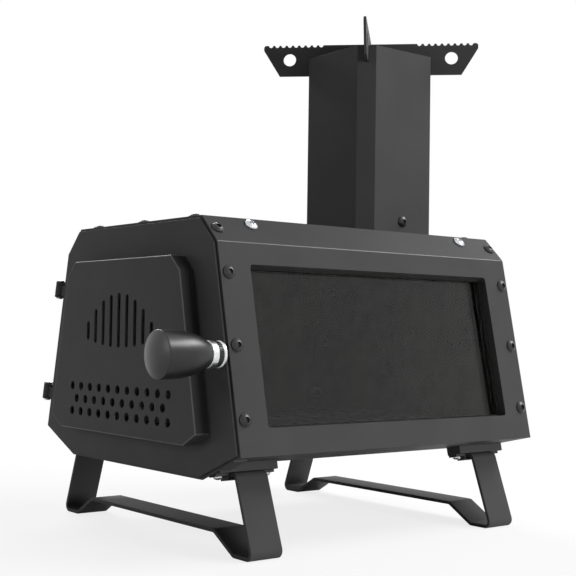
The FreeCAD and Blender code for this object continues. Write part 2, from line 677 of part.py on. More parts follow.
flue_seats = [(Vector(s.flue_x, side * s.flue_half, s.shell_top + s.flue_screw_rise), Vector(0, side, 0))
              for side in (-1, 1)]
LEG_X = (s.shell_start + s.leg_inset, s.shell_end - s.leg_inset - s.leg_width)
SADDLE_REACH = s.leg_width / 2 + s.saddle_gap + s.saddle_wall + s.saddle_wing / 2
SADDLE_CLIMB = s.flange_start + s.saddle_start + s.saddle_depth / 2
outer_saddle_seats = []
inner_saddle_seats = []
for x, outward in zip(LEG_X, (-1, 1)):
    for side in (-1, 1):
        middle = x + s.leg_width / 2
        outer_saddle_seats.append(low_seat(middle + outward * SADDLE_REACH, SADDLE_CLIMB, side))
        inner_saddle_seats.append(low_seat(middle - outward * SADDLE_REACH, SADDLE_CLIMB, side))
saddle_seats = outer_saddle_seats + inner_saddle_seats
HOLE = s.screw_size / 2 + s.seat_gap
PAN_HOLE = s.pan_size / 2 + s.seat_gap
SMALL_HOLE = s.saddle_screw / 2 + s.seat_gap

# Shell panels.

CHAMFER_WAY = (corner_at("shoulder") - corner_at("top")).normalize()
TOP_FOLD = s.shell_top_half - s.sheet_wall / math.cos(math.radians(s.shell_chamfer_lean))
LOW_WAY = (corner_at("base") - corner_at("bottom")).normalize()
SIDE_WAY = (corner_at("shoulder") - corner_at("base")).normalize()
SIDE_OUT = Vector(0, SIDE_WAY.z, -SIDE_WAY.y)
LOW_FOLD = corner_at("base") - LOW_WAY * (s.sheet_wall / LOW_WAY.dot(SIDE_OUT))
LIPS = (s.shell_start + s.frame_depth + s.lip_gap, s.shell_end - s.frame_depth - s.lip_gap)


def flipped(point):
    """Mirror of a point in the mid-plane."""
    return Vector(point.x, -point.y, point.z)


def side_panel(side):
    """Side sheet with the upper chamfer folded from it."""
    path = [corner_at(name, 0, side) for name in ("top", "shoulder", "base")]
    level = Vector(0, -side, 0)
    low = Vector(0, -side * LOW_WAY.y, -LOW_WAY.z)
    if side > 0:
        return folded(path[::-1], s.sheet_wall, s.shell_start, s.shell_end, s.bend_radius, (low, level))
    return folded(path, s.sheet_wall, s.shell_start, s.shell_end, s.bend_radius, (level, low))


WINDOW = Placement(Vector(s.shell_middle, -s.window_side, s.window_rise),
                   Rotation(Vector(1, 0, 0), s.window_turn))


def window_block(margin, near, far):
    """Block of the window outline grown by a margin, between two depths behind the outer face."""
    length = s.window_length + 2 * margin
    height = s.window_height + 2 * margin
    block = Part.makeBox(length, height, far - near, Vector(-length / 2, -height / 2, -far))
    upright = [edge for edge in block.Edges if abs(edge.tangentAt(edge.FirstParameter).z) > 0.5]
    block = block.makeFillet(s.window_corner + margin, upright)
    block.Placement = WINDOW
    return block


front = side_panel(-1).fuse(window_block(s.sheet_wall, s.sheet_wall / 2, s.sheet_wall + s.window_return))
front = front.cut(window_block(0, -s.drill_proud, s.drill_reach)).removeSplitter()
front = drilled(front, front_seats + latch_seats, HOLE)
piece("front_panel", drilled(front, edge_seats, PAN_HOLE))
back = drilled(side_panel(1), back_seats + hinge_seats, HOLE)
piece("back_panel", drilled(back, edge_seats, PAN_HOLE))

top_edge = [Vector(0, TOP_FOLD, s.shell_top) + CHAMFER_WAY * s.lip_length, Vector(0, TOP_FOLD, s.shell_top)]
top_path = top_edge + [flipped(point) for point in top_edge[::-1]]
top = folded(top_path, s.sheet_wall, LIPS[0], LIPS[1], s.bend_radius)
FLUE_HOLE = s.collar_half - s.collar_flange
FLUE_HOLE_CORNER = s.collar_corner - s.collar_flange * s.corner_shift


def square_prism(half, corner, low, high):
    """Upright prism with the flue's chamfered square section."""
    short = half - corner
    quarter = [(half, -short), (half, short), (short, half), (-short, half)]
    ring = [Vector(x, y, low) for x, y in quarter] + [Vector(-x, -y, low) for x, y in quarter]
    ring = [p + Vector(s.flue_x, 0, 0) for p in ring]
    return Part.Face(Part.makePolygon(ring + ring[:1])).extrude(Vector(0, 0, high - low))


# The flat of the top is square at its ends, where the end frames take the place of the folded edges.
flat_ends = []
for low, high in ((s.shell_start, LIPS[0]), (LIPS[1], s.shell_end)):
    flat_ends.append(folded(top_path[1:-1], s.sheet_wall, low, high, s.bend_radius))
top = top.fuse(flat_ends).removeSplitter()
top = top.cut(square_prism(FLUE_HOLE, FLUE_HOLE_CORNER, s.shell_top - s.drill_reach,
                           s.shell_top + s.drill_proud))
top = drilled(top, top_seats, HOLE)
piece("top_panel", drilled(top, edge_seats, PAN_HOLE))

low_path = [LOW_FOLD + SIDE_WAY * s.low_lip_length, LOW_FOLD, corner_at("bottom")]
low_path = [flipped(point) for point in low_path] + low_path[::-1]
bottom = folded(low_path, s.sheet_wall, LIPS[0], LIPS[1], s.bend_radius)
bottom_ends = []
for low, high in ((s.shell_start, LIPS[0]), (LIPS[1], s.shell_end)):
    bottom_ends.append(folded(low_path[1:-1], s.sheet_wall, low, high, s.bend_radius,
                              (flipped(SIDE_WAY), SIDE_WAY)))
bottom = bottom.fuse(bottom_ends).removeSplitter()
bottom = drilled(bottom, bottom_seats, HOLE)
piece("bottom_panel", drilled(bottom, saddle_seats, SMALL_HOLE))

# End frames.

frame_holes = doc.addObject("Part::Feature", "frame_holes")
frame_holes.Shape = Part.makeCompound(drills(frame_seats, HOLE) + drills(outer_saddle_seats, SMALL_HOLE))


def end_ring(body, start, length):
    """Flange of an end frame, just inside the shell panels."""
    walls = [outline("shell", "frame_inset"), outline("shell", "frame_inner")]
    pad(body, "YZ_Plane", length, walls, start=start)


frame = new_body("door_frame_blank")
pad(frame, "YZ_Plane", "sheet_wall",
    [outline("shell", "frame_inset"), outline("shell", "frame_inset + frame_lip")], start="shell_start")
end_ring(frame, "shell_start + sheet_wall", "frame_depth - sheet_wall")
notch = rectangle("-latch_side - notch_reach", "-latch_side + notch_reach",
                  "latch_height - notch_half", "latch_height + notch_half")
pocket(frame, "YZ_Plane", "sheet_wall * 2", [notch], start="shell_start + sheet_wall")
node("door_frame", cut("door_frame", frame, frame_holes))

rear = new_body("rear_end_blank")
pad(rear, "YZ_Plane", "sheet_wall", [outline("shell", "frame_inset")], start="shell_end - sheet_wall")
end_ring(rear, "shell_end - frame_depth", "frame_depth - sheet_wall")
node("rear_end_plate", cut("rear_end_plate", rear, frame_holes))

# Skirt behind the part of the door that hangs below the shell, open where the leg bars pass.


def outline_prism(prefix, inset, start, end):
    """Prism along X with an eight-sided outline moved inwards."""
    right = [corner_at(name, inset, 1, prefix) for name in ("bottom", "base", "shoulder", "top")]
    ring = [point + Vector(start, 0, 0) for point in right + [flipped(point) for point in right[::-1]]]
    return Part.Face(Part.makePolygon(ring + ring[:1])).extrude(Vector(end - start, 0, 0))


def cross_box(start, end, near, far):
    """Box between two stations along X and two places across, from below the door to above the shell."""
    low = 2 * s.door_bottom
    return Part.makeBox(end - start, far - near, s.shell_top - low, Vector(start, near, low))


SKIRT_END = s.shell_start + s.skirt_depth
skirt = outline_prism("door", 0, s.shell_start, SKIRT_END)
skirt = skirt.cut(outline_prism("door", s.sheet_wall, s.shell_start + s.sheet_wall, SKIRT_END))
skirt = skirt.cut(outline_prism("shell", -s.seat_gap, s.shell_start, SKIRT_END))
SKIRT_HALF = s.shell_base_half - s.skirt_end
skirt = skirt.common(cross_box(s.shell_start, SKIRT_END, -SKIRT_HALF, SKIRT_HALF))
BAR_NEAR = s.shell_bottom_half - s.saddle_depth
BAR_FAR = s.shell_bottom_half + s.flange_end
for near, far in ((BAR_NEAR, BAR_FAR), (-BAR_FAR, -BAR_NEAR)):
    skirt = skirt.cut(cross_box(s.shell_start + s.sheet_wall, SKIRT_END, near, far))
piece("door_skirt", skirt.removeSplitter())

# Window stack, drawn flat in the window's own frame and tilted onto the side.


def window_body(name, start, length, margins, circles=()):
    """Flat piece of the window stack between two outlines grown by margins."""
    body = new_body(name)
    polygons = []
    for margin in margins:
        across = "window_length / 2 + (%s)" % margin
        up = "window_height / 2 + (%s)" % margin
        polygons.append(rectangle("-(%s)" % across, across, "-(%s)" % up, up))
    pad(body, "XY_Plane", length, polygons, circles, start=start)
    place(body, "shell_middle", "-window_side", "window_rise", Vector(1, 0, 0), "window_turn")
    return node(name, body)


FACE = "sheet_wall + window_return"
window_body("window_gasket", "-(%s) - gasket_wall" % FACE, "gasket_wall",
            ("glass_lap - gasket_inset", "-sight_edge"))
window_body("window_glass", "-(%s) - gasket_wall - glass_wall" % FACE, "glass_wall", ("glass_lap",))
stud_spots = [("stud_pitch * %d" % i, "%s (window_height / 2 + stud_lap)" % sign) for i in (-1, 0, 1)
              for sign in ("-", "")]
window_body("window_retainer", "-(%s) - gasket_wall - glass_wall - sheet_wall" % FACE, "sheet_wall",
            ("stud_lap + retainer_rim", "-sight_edge"),
            [(x, y, "stud_size + 2 * seat_gap") for x, y in stud_spots])
nut_depth = s.sheet_wall + s.window_return + s.gasket_wall + s.glass_wall + s.sheet_wall
stud_depth = nut_depth + s.stud_proud
studs = []
stud_nuts = []
for i in (-1, 0, 1):
    for sign in (-1, 1):
        spot = Vector(i * s.stud_pitch, sign * (s.window_height / 2 + s.stud_lap), 0)
        stud = Part.makeCylinder(s.stud_size / 2, stud_depth - s.sheet_wall, spot - Vector(0, 0, stud_depth))
        stud.Placement = WINDOW.multiply(stud.Placement)
        studs.append(stud)
        nut = SMALL_NUT.Shape.copy()
        nut.Placement = WINDOW.multiply(Placement(spot - Vector(0, 0, nut_depth), Rotation()))
        stud_nuts.append(nut)
piece("window_studs", Part.makeCompound(studs))
piece("window_nuts", Part.makeCompound(stud_nuts))

# Screws and nuts of the shell.

short = seated(SHORT_SCREW.Shape, latch_seats)
piece("front_panel_screws", Part.makeCompound(seated(SCREW.Shape, front_seats).Solids + short.Solids))
raised = seated(SCREW.Shape, hinge_seats, s.hinge_wall)
piece("back_panel_screws", Part.makeCompound(seated(SCREW.Shape, back_seats).Solids + raised.Solids))
piece("top_panel_screws", seated(SCREW.Shape, top_seats))
piece("bottom_panel_screws", seated(SCREW.Shape, bottom_seats))
frame_nuts = seated(NUT.Shape, nut_seats, -s.frame_inner)
leaf_nuts = seated(NUT.Shape, panel_hinge_seats, -s.sheet_wall)
piece("panel_nuts", Part.makeCompound(frame_nuts.Solids + leaf_nuts.Solids))
piece("edge_screws", seated(PAN.Shape, edge_seats))
piece("edge_nuts", seated(PAN_NUT.Shape, edge_seats, -2 * s.sheet_wall))

# Flue.

flue = new_body("flue_blank")
bore = square("flue_half - sheet_wall", "flue_corner - sheet_wall * corner_shift")
pad(flue, "XY_Plane", "flue_height", [square("flue_half", "flue_corner"), bore], start="shell_top")
place(flue, "flue_x")
slots = []
for i, angle in enumerate((45, -45)):
    slot = doc.addObject("Part::Box", "flue_slot_%d" % i)
    bind(slot, Length="flue_width * 2", Width="pot_wall + 2 * move_gap", Height="pot_sink * 2")
    slot.Placement = Placement(Vector(), Rotation(Vector(0, 0, 1), angle))
    half_long = "flue_width * cos(45)"
    half_wide = "(pot_wall / 2 + move_gap) * cos(45)"
    sign = "+" if angle > 0 else "-"
    bind(slot, Placement__Base__x="flue_x - %s %s %s" % (half_long, sign, half_wide),
         Placement__Base__y="%s(-%s) - %s" % ("" if angle > 0 else "-", half_long, half_wide),
         Placement__Base__z="shell_top + flue_height - pot_sink")
    slots.append(slot)
flue_holes = doc.addObject("Part::Feature", "flue_holes")
flue_holes.Shape = Part.makeCompound(drills(flue_seats, HOLE))
slotted = cut("flue_slotted", flue, joined("Part::MultiFuse", "flue_slots", slots))
node("flue_tube", cut("flue_tube", slotted, flue_holes))

collar = new_body("collar_blank")
inner = square("collar_half - sheet_wall", "collar_corner - sheet_wall * corner_shift")
pad(collar, "XY_Plane", "collar_height", [square("collar_half", "collar_corner"), inner], start="shell_top")
opening = square("collar_half - collar_flange", "collar_corner - collar_flange * corner_shift")
pad(collar, "XY_Plane", "sheet_wall", [square("collar_half", "collar_corner"), opening], start="shell_top")
place(collar, "flue_x")
node("flue_collar", cut("flue_collar", collar, flue_holes))
piece("flue_screws", seated(SCREW.Shape, flue_seats))
piece("flue_nuts", seated(NUT.Shape, flue_seats, -2 * s.sheet_wall - s.seat_gap))

# Legs and their saddles.

FLANGE_OUT = Vector(0, LOW_WAY.z, -LOW_WAY.y)
flange_foot = corner_at("bottom") + FLANGE_OUT * (s.bar_wall + s.seat_gap)
half_leg = [flange_foot + LOW_WAY * climb for climb in (s.flange_start, s.flange_end)]
half_leg += [Vector(0, s.foot_half, -s.foot_drop), Vector(0, s.foot_inner_half, -s.foot_drop),
             Vector(0, s.bar_half, s.bar_rise - s.foot_drop)]
leg_path = [flipped(point) for point in half_leg] + half_leg[::-1]
for name, x in zip(("door_end_leg", "far_end_leg"), LEG_X):
    piece(name, folded(leg_path, s.leg_wall, x, x + s.leg_width, s.leg_bend))

strap_side = "(leg_width / 2 + saddle_gap)"
strap_top = "(bar_wall + leg_wall + saddle_gap)"
wing_end = strap_side + " + saddle_wall + saddle_wing"
hat_side = strap_side + " + saddle_wall"
saddle_holes = doc.addObject("Part::Feature", "saddle_holes")
saddle_holes.Shape = Part.makeCompound(drills(saddle_seats, SMALL_HOLE))
wing_top = "bar_wall + saddle_wall"
half_hat = [(strap_side, strap_top), (strap_side, "bar_wall"), (wing_end, "bar_wall"), (wing_end, wing_top),
            (hat_side, wing_top), (hat_side, strap_top + " + saddle_wall")]
hat = half_hat + [("-(%s)" % across, up) for across, up in half_hat[::-1]]
flat_bar = rectangle("-(%s)" % wing_end, wing_end, "0", "bar_wall")
for i, x in enumerate(("shell_start + leg_inset + leg_width / 2", "shell_end - leg_inset - leg_width / 2")):
    for side in (-1, 1):
        corner = "%s_%s" % (("door", "far")[i], "front" if side < 0 else "back")
        tilt = Rotation(Vector(1, 0, 0), s.saddle_turn)
        if side > 0:
            tilt = Rotation(Vector(0, 0, 1), 180).multiply(tilt)
        for name, section, depth, start in (
                ("saddle_" + corner, hat, "saddle_depth", "-(flange_start + saddle_start)"),
                ("leg_bar_" + corner, flat_bar, "bar_depth", "-flange_start")):
            body = new_body(name + "_blank")
            feature = pad(body, "XZ_Plane", depth, [section], start=start)
            feature.Reversed = True
            body.Placement = Placement(Vector(), tilt)
            bind(body, Placement__Base__x=x, Placement__Base__y="%d * shell_bottom_half" % side,
                 Placement__Base__z="shell_bottom")
            node(name, cut(name, body, saddle_holes))
piece("saddle_screws", seated(SADDLE_SCREW.Shape, saddle_seats, s.bar_wall + s.saddle_wall))
sheet_nuts = seated(SMALL_NUT.Shape, inner_saddle_seats, -s.sheet_wall)
deep_nuts = seated(SMALL_NUT.Shape, outer_saddle_seats, -s.frame_inner)
piece("saddle_nuts", Part.makeCompound(sheet_nuts.Solids + deep_nuts.Solids))

# Hinges, drawn in a frame on the back face: x along the stove, y off the face, z up the slope.

AXIS_X = s.door_wall / 2
AXIS_Y = s.hinge_offset
LUG_LOW = s.hinge_length / 2 + s.move_gap
LUG_HIGH = LUG_LOW + s.hinge_wall


def hinge_place(height):
    """Placement of the hinge frame at a height on the back face."""
    point, normal = side_seat(0, height, 1)
    return Placement(point, Rotation(Vector(1, 0, 0), s.shell_side_lean))


def flat(points, low, high):
    """Prism along z from a polygon of (x, y) points."""
    ring = [Vector(x, y, low) for x, y in points]
    return Part.Face(Part.makePolygon(ring + ring[:1])).extrude(Vector(0, 0, high - low))


def hinge_bracket():
    """Fixed leaf with two lugs for the pin."""
    radius = s.hinge_knuckle / 2
    left = s.shell_start + s.leaf_setback
    slant = radius * math.sqrt(0.5)
    leaf = Part.makeBox(s.leaf_length, s.hinge_wall, s.leaf_height, Vector(left, 0, -s.leaf_height / 2))
    arm = [(left, 0), (left + s.arm_root, 0), (AXIS_X + slant, AXIS_Y + slant),
           (AXIS_X - slant, AXIS_Y - slant)]
    shape = leaf
    for sign in (-1, 1):
        low = LUG_LOW if sign > 0 else -LUG_HIGH
        disc = Part.makeCylinder(radius, s.hinge_wall, Vector(AXIS_X, AXIS_Y, low))
        shape = shape.fuse([disc, flat(arm, low, low + s.hinge_wall)])
    bore = Part.makeCylinder(s.hinge_pin / 2 + s.seat_gap / 2, 4 * LUG_HIGH,
                             Vector(AXIS_X, AXIS_Y, -2 * LUG_HIGH))
    return shape.removeSplitter().cut(bore)


def hinge_pin():
    """Pin with a rivet head at each end."""
    end = LUG_HIGH + s.seat_gap + s.rivet_height
    rod = Part.makeCylinder(s.hinge_pin / 2, 2 * end, Vector(AXIS_X, AXIS_Y, -end))
    heads = [Part.makeCylinder(s.rivet_head / 2, s.rivet_height, Vector(AXIS_X, AXIS_Y, low))
             for low in (end - s.rivet_height, -end)]
    return rod.fuse(heads).removeSplitter()


def door_knuckle():
    """Barrel on the door with a tab that reaches the edge of the door plate."""
    radius = s.hinge_knuckle / 2
    low = -s.hinge_length / 2
    barrel = Part.makeCylinder(radius, s.hinge_length, Vector(AXIS_X, AXIS_Y, low))
    tab = Part.makeBox(s.door_wall, AXIS_Y + s.door_inset, s.hinge_length, Vector(0, -s.door_inset, low))
    bore = Part.makeCylinder(s.hinge_pin / 2 + s.hinge_play, 4 * LUG_HIGH,
                             Vector(AXIS_X, AXIS_Y, -2 * LUG_HIGH))
    return barrel.fuse(tab).removeSplitter().cut(bore)


for name, height in (("upper", s.hinge_high), ("lower", s.hinge_low)):
    for part_name, shape in (("hinge_bracket", hinge_bracket()), ("hinge_pin", hinge_pin()),
                             ("door_knuckle", door_knuckle())):
        if part_name == "hinge_bracket":
            holes = [(Vector(x, 0, 0), Vector(0, 1, 0)) for x in (ENDS[0], LEAF_X)]
            shape = drilled(shape, holes, HOLE)
        shape.Placement = hinge_place(height)
        piece(part_name + "_" + name, shape)

# Door: plate, raised cover with its air holes and a vent of upright slots.

door = new_body("door_plate")
pad(door, "YZ_Plane", "door_wall", [outline("door", "door_inset")])
pocket(door, "YZ_Plane", None, [outline("cover", "sheet_wall + cover_ledge")],
       [("-latch_side", "latch_height", "spindle_size + 2 * latch_play")])
node("door_plate", door)

cover = new_body("cover_blank")
pad(cover, "YZ_Plane", "cover_depth", [outline("cover", "0")], start="-cover_depth")
pocket(cover, "YZ_Plane", "cover_depth - sheet_wall", [outline("cover", "sheet_wall")])
AIR_ROWS = ((-1, 11), (0, 10), (1, 11))
air = []
for row, count in AIR_ROWS:
    for i in range(count):
        across = "air_pitch * %.1f" % (i - (count - 1) / 2)
        air.append((across, "air_height + air_step * %d" % row, "air_hole"))
pocket(cover, "YZ_Plane", None, circles=air)
VENTS = 9
VENT_ARCH = 0.3
vents = []
for i in range(VENTS):
    share = abs(2 * i / (VENTS - 1) - 1) ** 2
    length = "(vent_long + (vent_short - vent_long) * %.4f - vent_width)" % share
    middle = "(vent_height - (vent_long - vent_short) * %.4f)" % (share * VENT_ARCH)
    across = "vent_pitch * %d" % (i - VENTS // 2)
    box = doc.addObject("Part::Box", "vent_box_%d" % i)
    bind(box, Length="cover_depth", Width="vent_width", Height=length)
    place(box, "-cover_depth - sheet_wall", "%s - vent_width / 2" % across, "%s - %s / 2" % (middle, length))
    vents.append(box)
    for end in (-1, 1):
        tip = doc.addObject("Part::Cylinder", "vent_tip_%d" % i)
        bind(tip, Radius="vent_width / 2", Height="cover_depth")
        tip.Placement = Placement(Vector(), Rotation(Vector(0, 1, 0), 90))
        bind(tip, Placement__Base__x="-cover_depth - sheet_wall", Placement__Base__y=across,
             Placement__Base__z="%s + %d * %s / 2" % (middle, end, length))
        vents.append(tip)
node("door_cover", cut("door_cover", cover, joined("Part::MultiFuse", "vent_slots", vents)))

# Knob and latch, turned about an axis along X.


def turned_node(name, profile):
    """Turned piece of the latch on the spindle axis."""
    body = new_body(name)
    turn(body, profile)
    place(body, y="-latch_side", z="latch_height")
    return node(name, body)


BORE = "spindle_size / 2 + seat_gap / 2"


def sleeve(name, start, end, radius):
    """Turned sleeve on the spindle between two stations."""
    return turned_node(name, rectangle(start, end, BORE, radius))


def eased_sleeve(name, start, end, radius, ease):
    """Turned sleeve on the spindle whose outer edges are cut."""
    low = "%s - %s" % (radius, ease)
    turned_node(name, [(start, BORE), (end, BORE), (end, low), ("%s - %s" % (end, ease), radius),
                       ("%s + %s" % (start, ease), radius), (start, low)])


SPINDLE_START = "-ferrule_end - spindle_grip"
SPINDLE_END = "tongue_end + pan_nut_height + spindle_proud"
turned_node("latch_spindle", rectangle(SPINDLE_START, SPINDLE_END, "0", "spindle_size / 2"))
eased_sleeve("knob_ring", "-ring_end", "-move_gap", "ring_size / 2", "ring_ease")
eased_sleeve("knob_ferrule", "-ferrule_end", "-rib_end", "ferrule_size / 2", "ferrule_ease")
ribbed = new_body("knob_collar")
turn(ribbed, rectangle("-rib_end", "-ring_end", BORE, "rib_size / 2"))
RIBS = 30
grooves = []
for i in range(RIBS):
    angle = 360.0 * i / RIBS
    grooves.append(("rib_size / 2 * %.6f" % math.cos(math.radians(angle)),
                    "rib_size / 2 * %.6f" % math.sin(math.radians(angle)), "rib_groove"))
pocket(ribbed, "YZ_Plane", None, circles=grooves)
place(ribbed, y="-latch_side", z="latch_height")
node("knob_collar", ribbed)


def knob_grip():
    """Grip turned from a narrow neck over a swelling flank and a round rim to a domed end."""
    neck = Vector(-s.ferrule_end - s.grip_ease, s.grip_small / 2)
    rim = Vector(-s.grip_end + s.grip_ease, s.grip_large / 2)
    edge = Vector(-s.grip_end, s.grip_large / 2 - s.grip_ease)
    tip = Vector(-s.grip_end - s.grip_dome, 0)
    bore = s.spindle_size / 2 + s.seat_gap / 2
    depth = -s.ferrule_end - s.spindle_grip - s.seat_gap
    swell = rim.y - neck.y
    radius = ((neck.x - rim.x) ** 2 + swell ** 2) / (2 * swell)
    centre = Vector(rim.x, rim.y - radius)
    half = math.asin((neck.x - rim.x) / radius) / 2
    flank = Part.Arc(neck, centre + Vector(math.sin(half), math.cos(half)) * radius, rim)
    slant = s.grip_ease * math.sqrt(0.5)
    corner = Vector(rim.x - slant, edge.y + slant)
    ball = (edge.y ** 2 + s.grip_dome ** 2) / (2 * s.grip_dome)
    sweep = math.asin(edge.y / ball) / 2
    crown = Vector(tip.x + ball - ball * math.cos(sweep), ball * math.sin(sweep))
    foot = Vector(-s.ferrule_end, s.grip_small / 2 - s.grip_ease)
    straight = [tip, Vector(depth, 0), Vector(depth, bore), Vector(-s.ferrule_end, bore), foot, neck]
    edges = [Part.makeLine(a, b) for a, b in zip(straight, straight[1:])]
    edges += [flank.toShape(), Part.Arc(rim, corner, edge).toShape(), Part.Arc(edge, crown, tip).toShape()]
    return Part.Face(Part.Wire(edges)).revolve(Vector(), Vector(1, 0, 0), 360)


grip = knob_grip()
grip.Placement = Placement(Vector(0, -s.latch_side, s.latch_height), Rotation())
piece("knob_grip", grip)

sleeve("latch_bush", "bush_start", "tongue_start", "tongue_width / 2")
tongue = new_body("latch_tongue")
half_tip = [("tongue_length - tongue_ease", "tongue_width / 2"),
            ("tongue_length", "tongue_width / 2 - tongue_ease")]
half_blade = [("0", "tongue_width / 2")] + half_tip
blade = half_blade + [(across, "-(%s)" % up) for across, up in half_blade[::-1]]
pad(tongue, "YZ_Plane", "tongue_wall", [blade], start="tongue_start")
pad(tongue, "YZ_Plane", "tongue_wall", circles=[("0", "0", "tongue_width")], start="tongue_start")
pocket(tongue, "YZ_Plane", None, circles=[("0", "0", "spindle_size + seat_gap")])
place(tongue, y="-latch_side", z="latch_height")
node("latch_tongue", tongue)
latch_nut = PAN_NUT.Shape.copy()
latch_nut.Placement = Placement(Vector(s.tongue_end, -s.latch_side, s.latch_height),
                                Rotation(Vector(0, 1, 0), -90))
piece("latch_nut", latch_nut)

# Pot support: two toothed plates on edge, halved together over the flue.


SCALLOPS = 9


def pot_plate(name, angle, slot_low):
    """One plate of the pot support, drawn upright in the XZ plane."""
    body = new_body(name)
    bevel = [("pot_foot", "0"), ("pot_reach", "pot_height - pot_tip"), ("pot_reach", "pot_height - pot_ease"),
             ("pot_reach - pot_ease", "pot_height")]
    corners = bevel + [("-(%s)" % across, up) for across, up in bevel[::-1]]
    pad(body, "XZ_Plane", "pot_wall", [corners], side="Symmetric")
    circles = [("%s pot_hole_reach" % sign, "pot_hole_rise", "pot_hole") for sign in ("-", "")]
    for i in range(SCALLOPS):
        for sign in ("-", ""):
            circles.append(("%s (tooth_reach - tooth_pitch * %d)" % (sign, i), "pot_height", "tooth_gap"))
    half = "(pot_wall / 2 + move_gap / 2)"
    low, high = "pot_height / 2 - seat_gap", "pot_height + pot_wall"
    if slot_low:
        low, high = "-pot_wall", "pot_height / 2 + seat_gap"
    pocket(body, "XZ_Plane", None, [rectangle("-" + half, half, low, high)], circles)
    place(body, "flue_x", "0", "pot_bottom", Vector(0, 0, 1), "%d" % angle)
    return node(name, body)


pot_plate("pot_plate_lower", 45, False)
pot_plate("pot_plate_upper", -45, True)

# Fire grate: a slotted plate on two folded sides.

grate = new_body("fire_grate")
section = [("-grate_half", "0"), ("-grate_half + grate_wall", "0"),
           ("-grate_half + grate_wall", "grate_height - grate_wall"),
           ("grate_half - grate_wall", "grate_height - grate_wall"), ("grate_half - grate_wall", "0"),
           ("grate_half", "0"), ("grate_half", "grate_height"), ("-grate_half", "grate_height")]
pad(grate, "YZ_Plane", "grate_length", [section], start="shell_middle - grate_length / 2")
bars = []
half_count = int((s.grate_length / 2 - s.grate_edge) // s.grate_pitch)
for i in range(-half_count, half_count + 1):
    across = "shell_middle + grate_pitch * %d" % i
    for sign in ("-", ""):
        near, far = "%s grate_spine_half" % sign, "%s (grate_half - grate_edge)" % sign
        bars.append(rectangle("%s - grate_slot / 2" % across, "%s + grate_slot / 2" % across, near, far))
pocket(grate, "XY_Plane", "grate_wall * 2", bars, start="grate_height + grate_wall")
place(grate, z="grate_floor")
node("fire_grate", grate)

# Check, move to the shared frame and write.

doc.recompute()
for item in doc.Objects:
    if "Invalid" in item.State or "Error" in item.State:
        raise RuntimeError("%s is in error: %s" % (item.Label, item.State))
whole = FreeCAD.BoundBox()
for name, item in nodes.items():
    if item.Shape.isNull() or not item.Shape.isValid():
        raise RuntimeError("bad shape: " + name)
    whole.add(item.Shape.BoundBox)
shift = Vector(-whole.Center.x, -whole.Center.y, -whole.ZMin)
os.makedirs("parts", exist_ok=True)
for name, item in nodes.items():
    shape = item.Shape.copy()
    shape.translate(shift)
    shape.exportStep("parts/%s.step" % name)
    print("%-22s solids %2d  volume %9.0f  %s" % (name, len(shape.Solids), shape.Volume, shape.BoundBox))

# Values that the record quotes, in the shared frame.
hinge_point = hinge_place(s.hinge_low).multVec(Vector(AXIS_X, AXIS_Y, 0)) + shift
hinge_up = hinge_place(s.hinge_low).Rotation.multVec(Vector(0, 0, 1))
print("shift", shift)
print("size", whole.XLength, whole.YLength, whole.ZLength)
print("hinge", hinge_point, hinge_up)
print("latch", Vector(0, -s.latch_side, s.latch_height) + shift)
print("flue", Vector(s.flue_x, 0, s.shell_top) + shift, s.flue_height)
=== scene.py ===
"""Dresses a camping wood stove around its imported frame, and sets up a plain studio to look at it in.

The stove is a folded steel firebox with a glass side, a hinged end door with a raised air cover and a
turning knob, a square flue with a crossed pot support on top, and two strap legs.
"""

import logging
import math
from dataclasses import dataclass, field
from enum import Enum
from typing import Any, Callable, Dict, List, Optional, Sequence, Tuple

import bmesh
import bpy
from mathutils import Matrix, Vector

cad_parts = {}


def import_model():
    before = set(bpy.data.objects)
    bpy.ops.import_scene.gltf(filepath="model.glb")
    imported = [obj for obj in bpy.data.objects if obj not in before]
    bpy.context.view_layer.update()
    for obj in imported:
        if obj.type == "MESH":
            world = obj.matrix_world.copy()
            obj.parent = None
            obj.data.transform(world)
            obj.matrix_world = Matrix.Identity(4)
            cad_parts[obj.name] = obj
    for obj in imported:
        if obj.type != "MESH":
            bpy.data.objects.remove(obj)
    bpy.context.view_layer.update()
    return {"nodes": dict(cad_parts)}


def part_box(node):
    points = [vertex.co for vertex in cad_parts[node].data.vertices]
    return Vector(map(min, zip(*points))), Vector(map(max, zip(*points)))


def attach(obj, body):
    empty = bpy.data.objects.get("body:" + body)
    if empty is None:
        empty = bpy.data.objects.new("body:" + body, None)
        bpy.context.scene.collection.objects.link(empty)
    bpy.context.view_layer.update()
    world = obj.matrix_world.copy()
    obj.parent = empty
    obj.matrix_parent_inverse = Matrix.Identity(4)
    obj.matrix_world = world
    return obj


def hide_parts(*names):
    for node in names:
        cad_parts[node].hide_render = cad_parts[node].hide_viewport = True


MM = 0.001
LOG = logging.getLogger("camp_stove")
WHITE = "#ffffff"

# An edge is sharp from this angle between its two faces.
SHARP_DEGREES = 40.0
# The triangles of a copied node are joined where they are flat to within this angle.
FLAT_DEGREES = 0.4
# Points of a mesh that lie closer together than this are one point.
MERGE_MM = 0.002

# A noise lies mostly between these two values, so a range of colour or roughness runs between them.
NOISE_SPAN = (0.3, 0.7)
CLOUD_DETAIL = 4.0
GRAIN_DETAIL = 2.0

Colour = Tuple[float, float, float, float]
Point = Tuple[float, float, float]
Span = Tuple[float, float]
Names = Tuple[str, ...]
Nodes = Dict[str, bpy.types.Object]
FaceTest = Callable[[Vector, Vector], bool]


class Body(str, Enum):
    """The bodies that pieces ride on."""

    STOVE = "stove_body"
    DOOR = "door"
    LATCH = "latch"
    POT_SUPPORT = "pot_support"
    GRATE = "fire_grate"


